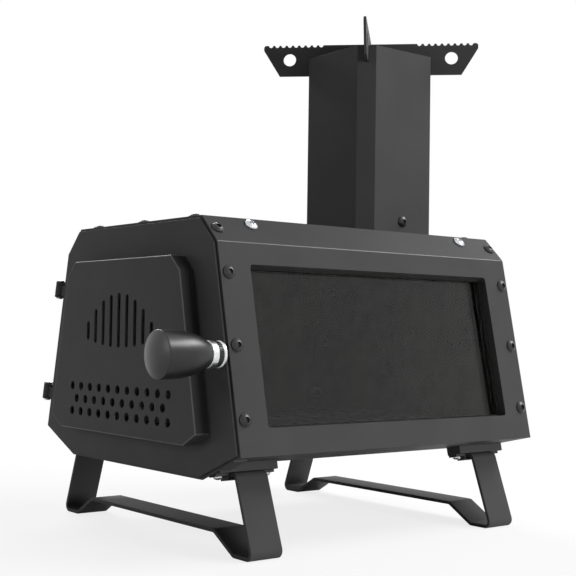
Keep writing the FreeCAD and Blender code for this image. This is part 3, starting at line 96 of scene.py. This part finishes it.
class Slot(str, Enum):
    """The material slots of the record."""

    PAINT = "heat_proof_black"
    OXIDE = "black_oxide_steel"
    ZINC = "zinc_plated_steel"
    GLASS = "clear_stove_glass"
    TAPE = "glass_fibre_tape"
    CHROME = "polished_chrome"
    RESIN = "black_bakelite"
    RAW = "raw_steel"


def linear(code: str) -> Colour:
    """Turn an sRGB hex value into the linear colour that a shader socket takes.

    Args:
        code: The colour as "#rrggbb".

    Returns:
        Red, green, blue and an alpha of 1.
    """
    parts = [int(code[i:i + 2], 16) / 255 for i in (1, 3, 5)]
    curve = [p / 12.92 if p <= 0.04045 else ((p + 0.055) / 1.055) ** 2.4 for p in parts]
    return curve[0], curve[1], curve[2], 1.0


def per_metre(size_mm: float) -> float:
    """Give the texture scale whose pattern repeats every size_mm."""
    return 1 / (size_mm * MM)


def add_node(tree: bpy.types.NodeTree, kind: str, links: Optional[Dict[Any, Any]] = None,
             stops: Sequence[Tuple[float, str]] = (), **settings: Any) -> bpy.types.Node:
    """Add one shader node with its settings and links.

    Args:
        tree: The node tree that gets the node.
        kind: The node's type, without its ShaderNode prefix.
        links: Input sockets, by name or number, and the output sockets that feed them.
        stops: Places and hex colours of a colour ramp's two ends.
        **settings: Properties of the node, or values of its inputs with _ for a space.

    Returns:
        The new node.
    """
    node = tree.nodes.new("ShaderNode" + kind)
    for key, value in settings.items():
        if key in node.bl_rna.properties:
            setattr(node, key, value)
        else:
            node.inputs[key.replace("_", " ")].default_value = value
    for number, (position, code) in enumerate(stops):
        stop = node.color_ramp.elements[number]
        stop.position = position
        stop.color = linear(code)
    for socket, source in (links or {}).items():
        tree.links.new(source, node.inputs[socket])
    return node


@dataclass(frozen=True)
class Finish:
    """A surface finish with a slow unevenness of colour, and a grain that gives bump and roughness.

    Attributes:
        name: The material's name.
        slot: The record's material slot that it belongs to. It is not used.
        deep: The darker colour of the unevenness.
        pale: The lighter colour of the unevenness.
        cloud_mm: The size of the unevenness.
        grain_mm: The size of the grain.
        grain_height_mm: The height of the grain.
        rough_low: The roughness in the hollows of the grain.
        rough_high: The roughness on the tops of the grain.
        metallic: 1 for bare or plated metal.
        specular: The level of the mirror reflection.
    """

    name: str
    slot: Slot
    deep: str
    pale: str
    cloud_mm: float
    grain_mm: float
    grain_height_mm: float
    rough_low: float
    rough_high: float
    metallic: float = 0.0
    specular: float = 0.5

    def material(self) -> bpy.types.Material:
        """Make the finish's material, once.

        Returns:
            The material, new or the one made before.
        """
        made = bpy.data.materials.get(self.name)
        if made is None:
            made = bpy.data.materials.new(self.name)
            made.use_nodes = True
            made.node_tree.nodes.clear()
            shader = self.paint(made.node_tree)
            add_node(made.node_tree, "OutputMaterial", {"Surface": shader.outputs["BSDF"]})
        return made

    def paint(self, tree: bpy.types.NodeTree) -> bpy.types.Node:
        """Build the shader with its colour, roughness and grain.

        Args:
            tree: The material's node tree.

        Returns:
            The Principled shader node.
        """
        low, high = NOISE_SPAN
        place = add_node(tree, "TexCoord").outputs["Object"]
        cloud = add_node(tree, "TexNoise", {"Vector": place}, Scale=per_metre(self.cloud_mm),
                         Detail=CLOUD_DETAIL).outputs["Fac"]
        grain = add_node(tree, "TexNoise", {"Vector": place}, Scale=per_metre(self.grain_mm),
                         Detail=GRAIN_DETAIL).outputs["Fac"]
        colour = add_node(tree, "ValToRGB", {"Fac": cloud}, stops=((low, self.deep), (high, self.pale)))
        rough = add_node(tree, "MapRange", {"Value": grain}, From_Min=low, From_Max=high,
                         To_Min=self.rough_low, To_Max=self.rough_high)
        bump = add_node(tree, "Bump", {"Height": grain}, Strength=1.0, Distance=self.grain_height_mm * MM)
        return add_node(tree, "BsdfPrincipled",
                        {"Base Color": colour.outputs["Color"], "Roughness": rough.outputs["Result"],
                         "Normal": bump.outputs["Normal"]},
                        Metallic=self.metallic, Specular_IOR_Level=self.specular)


@dataclass(frozen=True)
class ClearGlass(Finish):
    """Clear heat-proof glass: polished faces, with a faint grey film of smoke.

    Attributes:
        ior: How strongly it bends and mirrors light.
    """

    ior: float = 1.27

    def paint(self, tree: bpy.types.NodeTree) -> bpy.types.Node:
        """Build the see-through shader on top of the common one.

        Args:
            tree: The material's node tree.

        Returns:
            The Principled shader node.
        """
        shader = super().paint(tree)
        shader.inputs["Transmission Weight"].default_value = 1.0
        shader.inputs["IOR"].default_value = self.ior
        return shader


# Sprayed silicone paint: matt black with a fine even grain and a low sheen. The real grain is about
# 0.1 mm, and it is drawn at 0.9 mm so that it shows.
PAINT = Finish("sprayed_heat_proof_paint", Slot.PAINT, deep="#393939", pale="#3d3d3d", cloud_mm=45.0,
               grain_mm=0.9, grain_height_mm=0.006, rough_low=0.44, rough_high=0.52, specular=0.07)
# The same paint made a paler grey on tight outer folds: a painted highlight for the light that they catch.
FOLD_HIGHLIGHT_PAINT = Finish("fold_painted_highlight", Slot.PAINT, deep="#4e4e4e", pale="#5c5c5c", cloud_mm=14.0,
                    grain_mm=0.9, grain_height_mm=0.004, rough_low=0.36, rough_high=0.46, specular=0.2)
# The inner side of the sheets: mild steel under soot, with brown and grey patches from the heat.
INNER_SIDE = Finish("sooted_mild_steel", Slot.PAINT, deep="#262423", pale="#48423d", cloud_mm=34.0,
                    grain_mm=2.4, grain_height_mm=0.0015, rough_low=0.6, rough_high=0.8, specular=0.2)
# Blackened socket screws: dense dark oxide, oiled, so that the domes shine softly.
OXIDE = Finish("oiled_black_oxide", Slot.OXIDE, deep="#0f0f10", pale="#19191a", cloud_mm=3.0,
               grain_mm=0.5, grain_height_mm=0.004, rough_low=0.32, rough_high=0.44)
# Zinc plated screws: bright bluish silver with a slightly cloudy surface.
ZINC = Finish("bright_zinc_plate", Slot.ZINC, deep="#b9bcc0", pale="#d7d9db", cloud_mm=2.5,
              grain_mm=0.4, grain_height_mm=0.004, rough_low=0.2, rough_high=0.34, metallic=1.0)
# Satin chrome plate: bright, with a haze that spreads each reflection.
CHROME = Finish("satin_chrome_plate", Slot.CHROME, deep="#dcdee0", pale="#eceded", cloud_mm=6.0,
                grain_mm=0.6, grain_height_mm=0.0005, rough_low=0.24, rough_high=0.32, metallic=1.0)
# Compression moulded phenolic resin: deep black, smooth, with a moulded satin shine.
RESIN = Finish("moulded_phenolic_resin", Slot.RESIN, deep="#0d0d0d", pale="#141414", cloud_mm=9.0,
               grain_mm=0.7, grain_height_mm=0.002, rough_low=0.31, rough_high=0.39, specular=0.46)
# Woven glass fibre tape, dyed black: dull strands with darker gaps.
TAPE = Finish("woven_glass_fibre", Slot.TAPE, deep="#151515", pale="#2a2928", cloud_mm=1.6,
              grain_mm=1.1, grain_height_mm=0.1, rough_low=0.8, rough_high=0.95, specular=0.2)
# Hot rolled steel, left bare: blue grey mill scale with a dull metal shine.
RAW = Finish("hot_rolled_steel", Slot.RAW, deep="#4a4b4e", pale="#6f6d6a", cloud_mm=18.0,
             grain_mm=0.8, grain_height_mm=0.02, rough_low=0.38, rough_high=0.58, metallic=1.0)
# Clear stove glass: see-through, with a faint trace of smoke on it. A thin coat keeps its reflections
# low, which is drawn with a lower IOR than the 1.47 of the bare glass.
GLASS = ClearGlass("clear_heat_proof_glass", Slot.GLASS, deep="#f2f3f1", pale="#fbfbfa", cloud_mm=60.0,
                   grain_mm=12.0, grain_height_mm=0.0, rough_low=0.0, rough_high=0.03)

Coat = Tuple[Finish, FaceTest]


@dataclass(frozen=True)
class Ease:
    """How the edges of a piece are rounded.

    Attributes:
        width_mm: How far the rounding reaches on each side of an edge.
        segments: The number of facets across it.
        beside_mm2: The least area of both faces beside an edge that is rounded.
    """

    width_mm: float = 0.5
    segments: int = 3
    beside_mm2: float = 0.0


SHEET_EDGE = Ease()
FOLD_EDGE = Ease(width_mm=0.8, beside_mm2=100.0)
PANE_EDGE = Ease(width_mm=0.4)
ARM_EDGE = Ease(width_mm=0.25, segments=2)
SCREW_EDGE = Ease(width_mm=0.12, segments=2)
RIVET_EDGE = Ease(width_mm=0.7, segments=5)
NO_EDGE = Ease(width_mm=0.0)


@dataclass
class SubAssembly:
    """A group of pieces that ride on one body.

    Attributes:
        nodes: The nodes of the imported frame.
        body: The body that the pieces ride on.
    """

    nodes: Nodes
    body: Body = Body.STOVE

    def finish_piece(self, work: bmesh.types.BMesh, node: str, finishes: Sequence[Finish]) -> None:
        """Turn a finished bmesh into a piece that rides on the body.

        Args:
            work: The mesh, in its place. It is freed.
            node: The node that the piece replaces.
            finishes: The finishes, by the faces' material numbers.
        """
        name = node + "_piece"
        mesh = bpy.data.meshes.new(name)
        work.to_mesh(mesh)
        work.free()
        for polygon in mesh.polygons:
            polygon.use_smooth = True
        mesh.set_sharp_from_angle(angle=math.radians(SHARP_DEGREES))
        for finish in finishes:
            mesh.materials.append(finish.material())
        piece = bpy.data.objects.new(name, mesh)
        bpy.context.scene.collection.objects.link(piece)
        level = piece.modifiers.new("level_faces", "WEIGHTED_NORMAL")
        level.keep_sharp = True
        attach(piece, self.body.value)
        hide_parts(node)
        LOG.info("%s: %d faces", name, len(mesh.polygons))

    def eased(self, names: Sequence[str], finish: Finish, ease: Ease = SHEET_EDGE,
              coats: Sequence[Coat] = (), folds: Optional[Finish] = None) -> None:
        """Copy the meshes of nodes, join their triangles and round their edges.

        Args:
            names: The nodes that are copied and replaced.
            finish: The finish of the pieces.
            ease: How their edges are rounded.
            coats: Other finishes, each with the test that picks its faces.
            folds: The finish of their outer folds, a paler paint that stands in for their highlight, if
                these are rounded on their own.
        """
        for node in names:
            work = bmesh.new()
            work.from_mesh(self.nodes[node].data)
            bmesh.ops.remove_doubles(work, verts=work.verts, dist=MERGE_MM * MM)
            bmesh.ops.dissolve_limit(work, angle_limit=math.radians(FLAT_DEGREES), verts=work.verts,
                                     edges=work.edges)
            for face in work.faces:
                face.material_index = 0
                for number, (_, covers) in enumerate(coats, 1):
                    if covers(face.calc_center_median(), face.normal):
                        face.material_index = number
            finishes = [finish] + [coat for coat, _ in coats]
            # The faces that round the folds get the folds' finish, a painted highlight.
            if folds:
                for face in self.round_edges(work, FOLD_EDGE):
                    face.material_index = len(finishes)
                finishes.append(folds)
            if ease.width_mm:
                self.round_edges(work, ease)
            self.finish_piece(work, node, finishes)

    def round_edges(self, work: bmesh.types.BMesh, ease: Ease) -> List[bmesh.types.BMFace]:
        """Round the sharp edges of a mesh.

        Args:
            work: The mesh.
            ease: How the edges are rounded, and how large the faces on both sides of them are.

        Returns:
            The faces that the rounding made.
        """
        limit = math.radians(SHARP_DEGREES)
        least = ease.beside_mm2 * MM ** 2
        sharp = [edge for edge in work.edges if edge.is_manifold and edge.calc_face_angle(0.0) > limit
                 and min(face.calc_area() for face in edge.link_faces) >= least]
        # The clamp lets close edges hold back each other's width. Edges between large faces go without it.
        made = bmesh.ops.bevel(work, geom=sharp, offset=ease.width_mm * MM, offset_type="OFFSET",
                               affect="EDGES", segments=ease.segments, profile=0.5, material=-1,
                               clamp_overlap=not least)
        return made["faces"]

    def dress(self, names: Sequence[str], finish: Finish) -> None:
        """Give nodes that stay as they are a finish.

        Args:
            names: The nodes.
            finish: Their finish.
        """
        for name in names:
            for slot in self.nodes[name].material_slots:
                slot.material = finish.material()
            LOG.info("%s: kept, %s", name, finish.name)


@dataclass
class Firebox(SubAssembly):
    """The folded sheets and the end frames of the firebox.

    Attributes:
        sheets: The long sheets.
        ends: The end frames.
        facing: The cosine from which a face looks at the middle.
        fold_out: How far sideways a face of an upper fold points, at least and at most.
        fold_up: How far upwards it points, at least and at most.
    """

    sheets: Names = ("front_panel", "back_panel", "top_panel", "bottom_panel")
    ends: Names = ("door_frame", "rear_end_plate")
    facing: float = 0.7
    fold_out: Span = (0.8, 0.94)
    fold_up: Span = (0.4, 0.6)

    def build(self) -> None:
        """Copy the sheets with round edges, painted outside and sooted inside, with a painted highlight on
        their upper folds.
        """
        low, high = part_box("top_panel")
        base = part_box("bottom_panel")[0]
        middle = Vector(((low.x + high.x) / 2, (low.y + high.y) / 2, (base.z + high.z) / 2))

        def inward(place: Vector, normal: Vector) -> bool:
            """Tell whether a face of a long sheet looks at the middle line of the firebox."""
            aim = Vector((0.0, middle.y - place.y, middle.z - place.z)).normalized()
            return normal.dot(aim) > self.facing

        def along(place: Vector, normal: Vector) -> bool:
            """Tell whether a face of an end looks along the firebox at its middle."""
            return normal.x * math.copysign(1.0, middle.x - place.x) > self.facing

        def fold(place: Vector, normal: Vector) -> bool:
            """Tell whether a face lies on the outside of a sheet's upper fold, which looks up towards the
            lamps and gets a painted highlight.
            """
            tilted = (self.fold_out[0] < abs(normal.y) < self.fold_out[1]
                      and self.fold_up[0] < normal.z < self.fold_up[1])
            return tilted and normal.y * place.y > 0

        # The upper folds get a paler paint: a painted highlight where they catch the light.
        self.eased(self.sheets, PAINT, coats=((INNER_SIDE, inward), (FOLD_HIGHLIGHT_PAINT, fold)))
        self.eased(self.ends, PAINT, coats=((INNER_SIDE, along),))


@dataclass
class Window(SubAssembly):
    """The glass pane with its tape, its retainer and its studs."""

    def build(self) -> None:
        """Make the pane clear and dress what holds it."""
        self.eased(("window_glass",), GLASS, PANE_EDGE)
        self.eased(("window_gasket",), TAPE, NO_EDGE)
        self.eased(("window_retainer",), PAINT)
        self.dress(("window_studs", "window_nuts"), ZINC)


@dataclass
class Fasteners(SubAssembly):
    """The screws and nuts of the sheets, the flue and the legs.

    Attributes:
        black: The blackened screws.
        bright: The zinc plated screws.
        nuts: The nuts.
    """

    black: Names = ("front_panel_screws", "back_panel_screws", "top_panel_screws", "bottom_panel_screws",
                    "flue_screws")
    bright: Names = ("edge_screws", "saddle_screws")
    nuts: Names = ("panel_nuts", "edge_nuts", "flue_nuts", "saddle_nuts")

    def build(self) -> None:
        """Copy the screws with softened rims and dress the nuts."""
        self.eased(self.black, OXIDE, SCREW_EDGE)
        self.eased(self.bright, ZINC, SCREW_EDGE)
        self.dress(self.nuts, ZINC)


@dataclass
class Flue(SubAssembly):
    """The square flue tube on its collar.

    Attributes:
        inner_mm: The least distance from the middle line of a wall that looks at it.
    """

    inner_mm: float = 20.0

    def build(self) -> None:
        """Copy the tube and the collar, with soot inside the tube."""
        low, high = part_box("flue_tube")
        middle = (low + high) / 2

        def inward(place: Vector, normal: Vector) -> bool:
            """Tell whether a face looks at the flue's middle line."""
            reach = normal.x * (middle.x - place.x) + normal.y * (middle.y - place.y)
            return reach > self.inner_mm * MM

        self.eased(("flue_tube",), PAINT, coats=((INNER_SIDE, inward),))
        self.eased(("flue_collar",), PAINT)


@dataclass
class Legs(SubAssembly):
    """The strap legs in their saddles, the bars they lie on and the skirt behind the door's lower edge.

    Attributes:
        straps: The bent straps.
        saddles: The saddles that hold the straps.
        bars: The bars between the shell and the straps.
        skirts: The skirt.
    """

    straps: Names = ("door_end_leg", "far_end_leg")
    saddles: Names = ("saddle_door_front", "saddle_door_back", "saddle_far_front", "saddle_far_back")
    bars: Names = ("leg_bar_door_front", "leg_bar_door_back", "leg_bar_far_front", "leg_bar_far_back")
    skirts: Names = ("door_skirt",)

    def build(self) -> None:
        """Copy the straps, the saddles and what lies above them with round edges."""
        self.eased(self.straps + self.saddles + self.bars + self.skirts, PAINT)


@dataclass
class Hinges(SubAssembly):
    """The fixed halves of the door hinges with their pins."""

    def build(self) -> None:
        """Copy the brackets, and the pins with their riveted ends."""
        self.eased(("hinge_bracket_upper", "hinge_bracket_lower"), PAINT)
        self.eased(("hinge_pin_upper", "hinge_pin_lower"), ZINC, RIVET_EDGE)


@dataclass
class Door(SubAssembly):
    """The end door with its raised air cover.

    Attributes:
        facing: How far along the firebox a face on the inner side points, at least.
    """

    body: Body = Body.DOOR
    facing: float = 0.5

    def build(self) -> None:
        """Copy the plate, the cover with a painted highlight on its rounded folds, and the hinge knuckles.
        """

        def along(_: Vector, normal: Vector) -> bool:
            """Tell whether a face of the door looks into the firebox."""
            return normal.x > self.facing

        self.eased(("door_plate",), PAINT, coats=((INNER_SIDE, along),))
        # The cover's rounded folds are painted paler, as a painted highlight.
        self.eased(("door_cover",), PAINT, coats=((INNER_SIDE, along),), folds=FOLD_HIGHLIGHT_PAINT)
        self.eased(("door_knuckle_upper", "door_knuckle_lower"), PAINT)


@dataclass
class Profile:
    """Half outline of a turned piece, which starts on its axis.

    Attributes:
        points: Places along the axis, from the door outwards, and radii.
    """

    points: List[Span] = field(default_factory=lambda: [(0.0, 0.0)])

    def arc(self, centre: Span, radius: float, start: float, end: float, steps: int) -> None:
        """Add an arc.

        Args:
            centre: The circle's centre, along the axis and out from it.
            radius: The circle's radius.
            start: The first angle, from the outward direction of the axis.
            end: The last angle.
            steps: The number of straight steps.
        """
        for step in range(steps + 1):
            turn = start + (end - start) * step / steps
            self.points.append((centre[0] + radius * math.cos(turn), centre[1] + radius * math.sin(turn)))

    def close(self, along: float) -> None:
        """End the outline on the axis, at a place along it."""
        self.points.append((along, 0.0))


@dataclass
class Latch(SubAssembly):
    """The turning knob and the tongue behind the door.

    Attributes:
        plated: The zinc plated pieces behind the knob.
        turn_steps: The facets round a turned piece.
        ease_mm: The radius of the grip's rims.
        ease_steps: The facets of a rim at the ferrule.
        rim_steps: The facets of the grip's outer rim.
        neck_mm: How far the grip's neck lies inside the ferrule of the frame.
        dome_mm: The height of the grip's domed end.
        dome_steps: The facets from the rim to the top of the dome.
        flank_power: How soon the flank swells from the neck to its full width.
        flank_steps: The facets along the flank.
        ferrule_ease_mm: The radius of the ferrule's rims.
        ferrule_share: How far the ferrule stands out from the neck, as a share of neck_mm.
        bead_steps: The facets across the ring's half-round bead.
    """

    body: Body = Body.LATCH
    plated: Names = ("latch_spindle", "latch_bush", "latch_tongue", "latch_nut")
    turn_steps: int = 96
    ease_mm: float = 0.9
    ease_steps: int = 5
    rim_steps: int = 7
    neck_mm: float = 0.6
    dome_mm: float = 3.6
    dome_steps: int = 14
    flank_power: float = 3.0
    flank_steps: int = 28
    ferrule_ease_mm: float = 0.6
    ferrule_share: float = 0.25
    bead_steps: int = 16

    def build(self) -> None:
        """Turn the grip, the ferrule and the ring, and copy the rest with softened rims."""
        self.spin("knob_grip", self.grip_profile(), RESIN)
        self.spin("knob_ferrule", self.ferrule_profile(), CHROME)
        self.spin("knob_ring", self.ring_profile(), CHROME)
        self.eased(("knob_collar",), RESIN, SCREW_EDGE)
        self.eased(self.plated, ZINC, SCREW_EDGE)

    def neck(self) -> float:
        """Give the radius of the grip where it meets the ferrule."""
        low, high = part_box("knob_ferrule")
        return (high.z - low.z) / 2 - self.neck_mm * MM

    def grip_profile(self) -> Profile:
        """Draw the grip: a narrow neck, a swelling flank, a round rim and a domed end.

        Returns:
            The outline.
        """
        low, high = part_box("knob_grip")
        ease = self.ease_mm * MM
        dome = self.dome_mm * MM
        wide = (high.z - low.z) / 2
        neck = self.neck()
        length = high.x - low.x - dome
        run = length - 2 * ease
        ball = ((wide - ease) ** 2 + dome ** 2) / (2 * dome)
        slope = math.asin((wide - ease) / ball)
        upright = math.pi / 2
        profile = Profile()
        profile.arc((ease, neck - ease), ease, math.pi, upright, self.ease_steps)
        for step in range(1, self.flank_steps):
            share = step / self.flank_steps
            radius = wide - (wide - neck) * (1 - share) ** self.flank_power
            profile.points.append((ease + run * share, radius))
        profile.arc((length - ease, wide - ease), ease, upright, 0.0, self.rim_steps)
        profile.arc((length + dome - ball, 0.0), ball, slope, 0.0, self.dome_steps)
        return profile

    def ferrule_profile(self) -> Profile:
        """Draw the ferrule: a short cylinder, just wider than the grip's neck, with round rims.

        Returns:
            The outline.
        """
        low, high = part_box("knob_ferrule")
        ease = self.ferrule_ease_mm * MM
        radius = self.neck() + self.ferrule_share * self.neck_mm * MM
        length = high.x - low.x
        profile = Profile()
        profile.arc((ease, radius - ease), ease, math.pi, math.pi / 2, self.ease_steps)
        profile.arc((length - ease, radius - ease), ease, math.pi / 2, 0.0, self.ease_steps)
        profile.close(length)
        return profile

    def ring_profile(self) -> Profile:
        """Draw the thin ring at the door: a half-round bead.

        Returns:
            The outline.
        """
        low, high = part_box("knob_ring")
        half = (high.x - low.x) / 2
        profile = Profile()
        profile.arc((half, (high.z - low.z) / 2 - half), half, math.pi, 0.0, self.bead_steps)
        profile.close(2 * half)
        return profile

    def spin(self, node: str, profile: Profile, finish: Finish) -> None:
        """Turn an outline about the knob's axis.

        Args:
            node: The node that the piece replaces.
            profile: The outline, starting at the node's end towards the door.
            finish: The finish of the piece.
        """
        low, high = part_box(node)
        axis_y = (low.y + high.y) / 2
        axis_z = (low.z + high.z) / 2
        work = bmesh.new()
        verts = [work.verts.new((high.x - along, axis_y, axis_z + radius))
                 for along, radius in profile.points]
        edges = [work.edges.new(pair) for pair in zip(verts, verts[1:])]
        bmesh.ops.spin(work, geom=verts + edges, cent=(0.0, axis_y, axis_z), axis=(1, 0, 0),
                       angle=math.tau, steps=self.turn_steps, use_merge=True)
        bmesh.ops.remove_doubles(work, verts=work.verts, dist=MERGE_MM * MM)
        bmesh.ops.recalc_face_normals(work, faces=work.faces)
        self.finish_piece(work, node, [finish])


@dataclass
class PotSupport(SubAssembly):
    """The crossed plates on top of the flue."""

    body: Body = Body.POT_SUPPORT

    def build(self) -> None:
        """Copy both plates with round edges."""
        self.eased(("pot_plate_lower", "pot_plate_upper"), PAINT, ARM_EDGE)


@dataclass
class Grate(SubAssembly):
    """The slotted grate in the firebox."""

    body: Body = Body.GRATE

    def build(self) -> None:
        """Copy the grate in bare steel."""
        self.eased(("fire_grate",), RAW)


@dataclass(frozen=True)
class Softbox:
    """An area lamp.

    Attributes:
        name: The lamp's name.
        place: Where it hangs, in metres.
        sides: Its width and height, in metres.
        watts: Its power.
        mirrored: Whether it shows in reflections and through glass.
    """

    name: str
    place: Point
    sides: Span
    watts: float
    mirrored: bool = True


@dataclass
class Studio:
    """The floor, the lamps, the white world and the camera.

    Attributes:
        floor_radius: The floor's radius, in metres.
        floor_segments: The straight sides of its rim.
        floor_colour: The colour that catches the shadow.
        floor_lift: The share of plain white that the camera sees on top of it.
        fade: Where the floor's fading starts and ends, in metres from its middle.
        ambient: The strength of the world as a light.
        softboxes: The lamps.
        aim: The point that the lamps are turned to, in metres.
        lens_mm: The camera's focal length. It, the place and the angles are fitted to the photograph.
        film_mm: The width of the camera's film.
        stand_mm: Where the camera stands.
        yaw_degrees: How far it is turned from +Y towards +X.
        pitch_degrees: How far it looks upwards.
        roll_degrees: How far it is tilted about its own axis.
    """

    floor_radius: float = 1.6
    floor_segments: int = 96
    floor_colour: str = "#eeeeee"
    floor_lift: float = 0.8
    fade: Span = (0.35, 0.95)
    ambient: float = 0.06
    softboxes: Tuple[Softbox, ...] = (
        Softbox("key_softbox", place=(0.6, -2.0, 0.35), sides=(0.9, 0.6), watts=36.0, mirrored=False),
        Softbox("right_softbox", place=(1.24, -0.83, 1.5), sides=(1.5, 0.5), watts=34.0),
        Softbox("back_softbox", place=(0.45, 1.7, 1.45), sides=(1.6, 0.4), watts=36.0),
        Softbox("left_softbox", place=(-1.9, 0.1, 0.8), sides=(0.9, 0.9), watts=9.0),
    )
    aim: Point = (0.0, 0.0, 0.2)
    lens_mm: float = 71.635
    film_mm: float = 36.0
    stand_mm: Point = (-636.04, -840.13, 175.03)
    yaw_degrees: float = 38.30
    pitch_degrees: float = 2.03
    roll_degrees: float = 0.85

    def build(self) -> None:
        """Set up everything that isn't part of the stove."""
        self.lay_floor()
        self.light_world()
        for box in self.softboxes:
            self.hang(box)
        self.set_camera()
        bpy.context.scene.view_settings.view_transform = "Standard"

    def lay_floor(self) -> None:
        """Lay a pale round floor that fades into the white around it."""
        work = bmesh.new()
        bmesh.ops.create_circle(work, cap_ends=True, segments=self.floor_segments, radius=self.floor_radius)
        mesh = bpy.data.meshes.new("floor")
        work.to_mesh(mesh)
        work.free()
        mesh.materials.append(self.floor_material())
        floor = bpy.data.objects.new("floor", mesh)
        bpy.context.scene.collection.objects.link(floor)

    def floor_material(self) -> bpy.types.Material:
        """Make the floor pale, lifted towards white for the camera, and clear at its rim.

        Returns:
            The material.
        """
        material = bpy.data.materials.new("pale_floor")
        material.use_nodes = True
        tree = material.node_tree
        tree.nodes.clear()
        place = add_node(tree, "TexCoord").outputs["Object"]
        far = add_node(tree, "VectorMath", {0: place}, operation="LENGTH").outputs["Value"]
        fade = add_node(tree, "MapRange", {"Value": far}, interpolation_type="SMOOTHSTEP",
                        From_Min=self.fade[0], From_Max=self.fade[1])
        seen = add_node(tree, "LightPath").outputs["Is Camera Ray"]
        lift = add_node(tree, "Math", {0: seen}, operation="MULTIPLY")
        lift.inputs[1].default_value = self.floor_lift
        matt = add_node(tree, "BsdfDiffuse", Color=linear(self.floor_colour))
        glow = add_node(tree, "Emission", Color=linear(WHITE), Strength=1.0)
        pale = add_node(tree, "MixShader", {0: lift.outputs["Value"], 1: matt.outputs["BSDF"],
                                            2: glow.outputs["Emission"]})
        clear = add_node(tree, "BsdfTransparent")
        mixed = add_node(tree, "MixShader", {0: fade.outputs["Result"], 1: pale.outputs["Shader"],
                                             2: clear.outputs["BSDF"]})
        add_node(tree, "OutputMaterial", {"Surface": mixed.outputs["Shader"]})
        return material

    def light_world(self) -> None:
        """Make the world white to the eye and in reflections, and a low even light elsewhere."""
        world = bpy.data.worlds.new("studio")
        bpy.context.scene.world = world
        world.use_nodes = True
        tree = world.node_tree
        tree.nodes.clear()
        path = add_node(tree, "LightPath").outputs
        seen = path["Is Camera Ray"]
        for ray in ("Is Glossy Ray", "Is Transmission Ray"):
            seen = add_node(tree, "Math", {0: seen, 1: path[ray]}, operation="MAXIMUM").outputs["Value"]
        strength = add_node(tree, "MapRange", {"Value": seen}, To_Min=self.ambient, To_Max=1.0)
        white = add_node(tree, "Background", {"Strength": strength.outputs["Result"]}, Color=linear(WHITE))
        add_node(tree, "OutputWorld", {"Surface": white.outputs["Background"]})

    def hang(self, box: Softbox) -> None:
        """Hang one softbox, turned to the stove.

        Args:
            box: The softbox.
        """
        lamp = bpy.data.lights.new(box.name, "AREA")
        lamp.shape = "RECTANGLE"
        lamp.size, lamp.size_y = box.sides
        lamp.energy = box.watts
        holder = bpy.data.objects.new(box.name, lamp)
        holder.visible_glossy = box.mirrored
        holder.visible_transmission = box.mirrored
        turn = (Vector(self.aim) - Vector(box.place)).to_track_quat("-Z", "Y")
        holder.matrix_world = Matrix.Translation(box.place) @ turn.to_matrix().to_4x4()
        bpy.context.scene.collection.objects.link(holder)

    def set_camera(self) -> None:
        """Stand the camera at the photograph's viewing place and angle."""
        yaw = math.radians(self.yaw_degrees)
        pitch = math.radians(self.pitch_degrees)
        roll = math.radians(self.roll_degrees)
        ahead = Vector((math.sin(yaw) * math.cos(pitch), math.cos(yaw) * math.cos(pitch), math.sin(pitch)))
        level = Vector((math.cos(yaw), -math.sin(yaw), 0.0))
        upright = level.cross(ahead)
        right = level * math.cos(roll) + upright * math.sin(roll)
        up = upright * math.cos(roll) - level * math.sin(roll)
        turn = Matrix((right, up, -ahead)).transposed().to_4x4()
        eye = bpy.data.cameras.new("camera")
        eye.lens = self.lens_mm
        eye.sensor_width = self.film_mm
        holder = bpy.data.objects.new("camera", eye)
        holder.matrix_world = Matrix.Translation(Vector(self.stand_mm) * MM) @ turn
        bpy.context.scene.collection.objects.link(holder)
        bpy.context.scene.camera = holder


def main() -> None:
    """Load the frame, build each sub-assembly in order, logging the face count of each piece, and set up
    the studio.
    """
    logging.basicConfig(level=logging.INFO, format="%(name)s: %(message)s")
    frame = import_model()
    nodes = frame["nodes"]
    for kind in (Firebox, Window, Fasteners, Flue, Legs, Hinges, Door, Latch, PotSupport, Grate):
        LOG.info("building %s", kind.__name__)
        kind(nodes).build()
    Studio().build()
    bpy.context.view_layer.update()


if __name__ == "__main__":
    main()
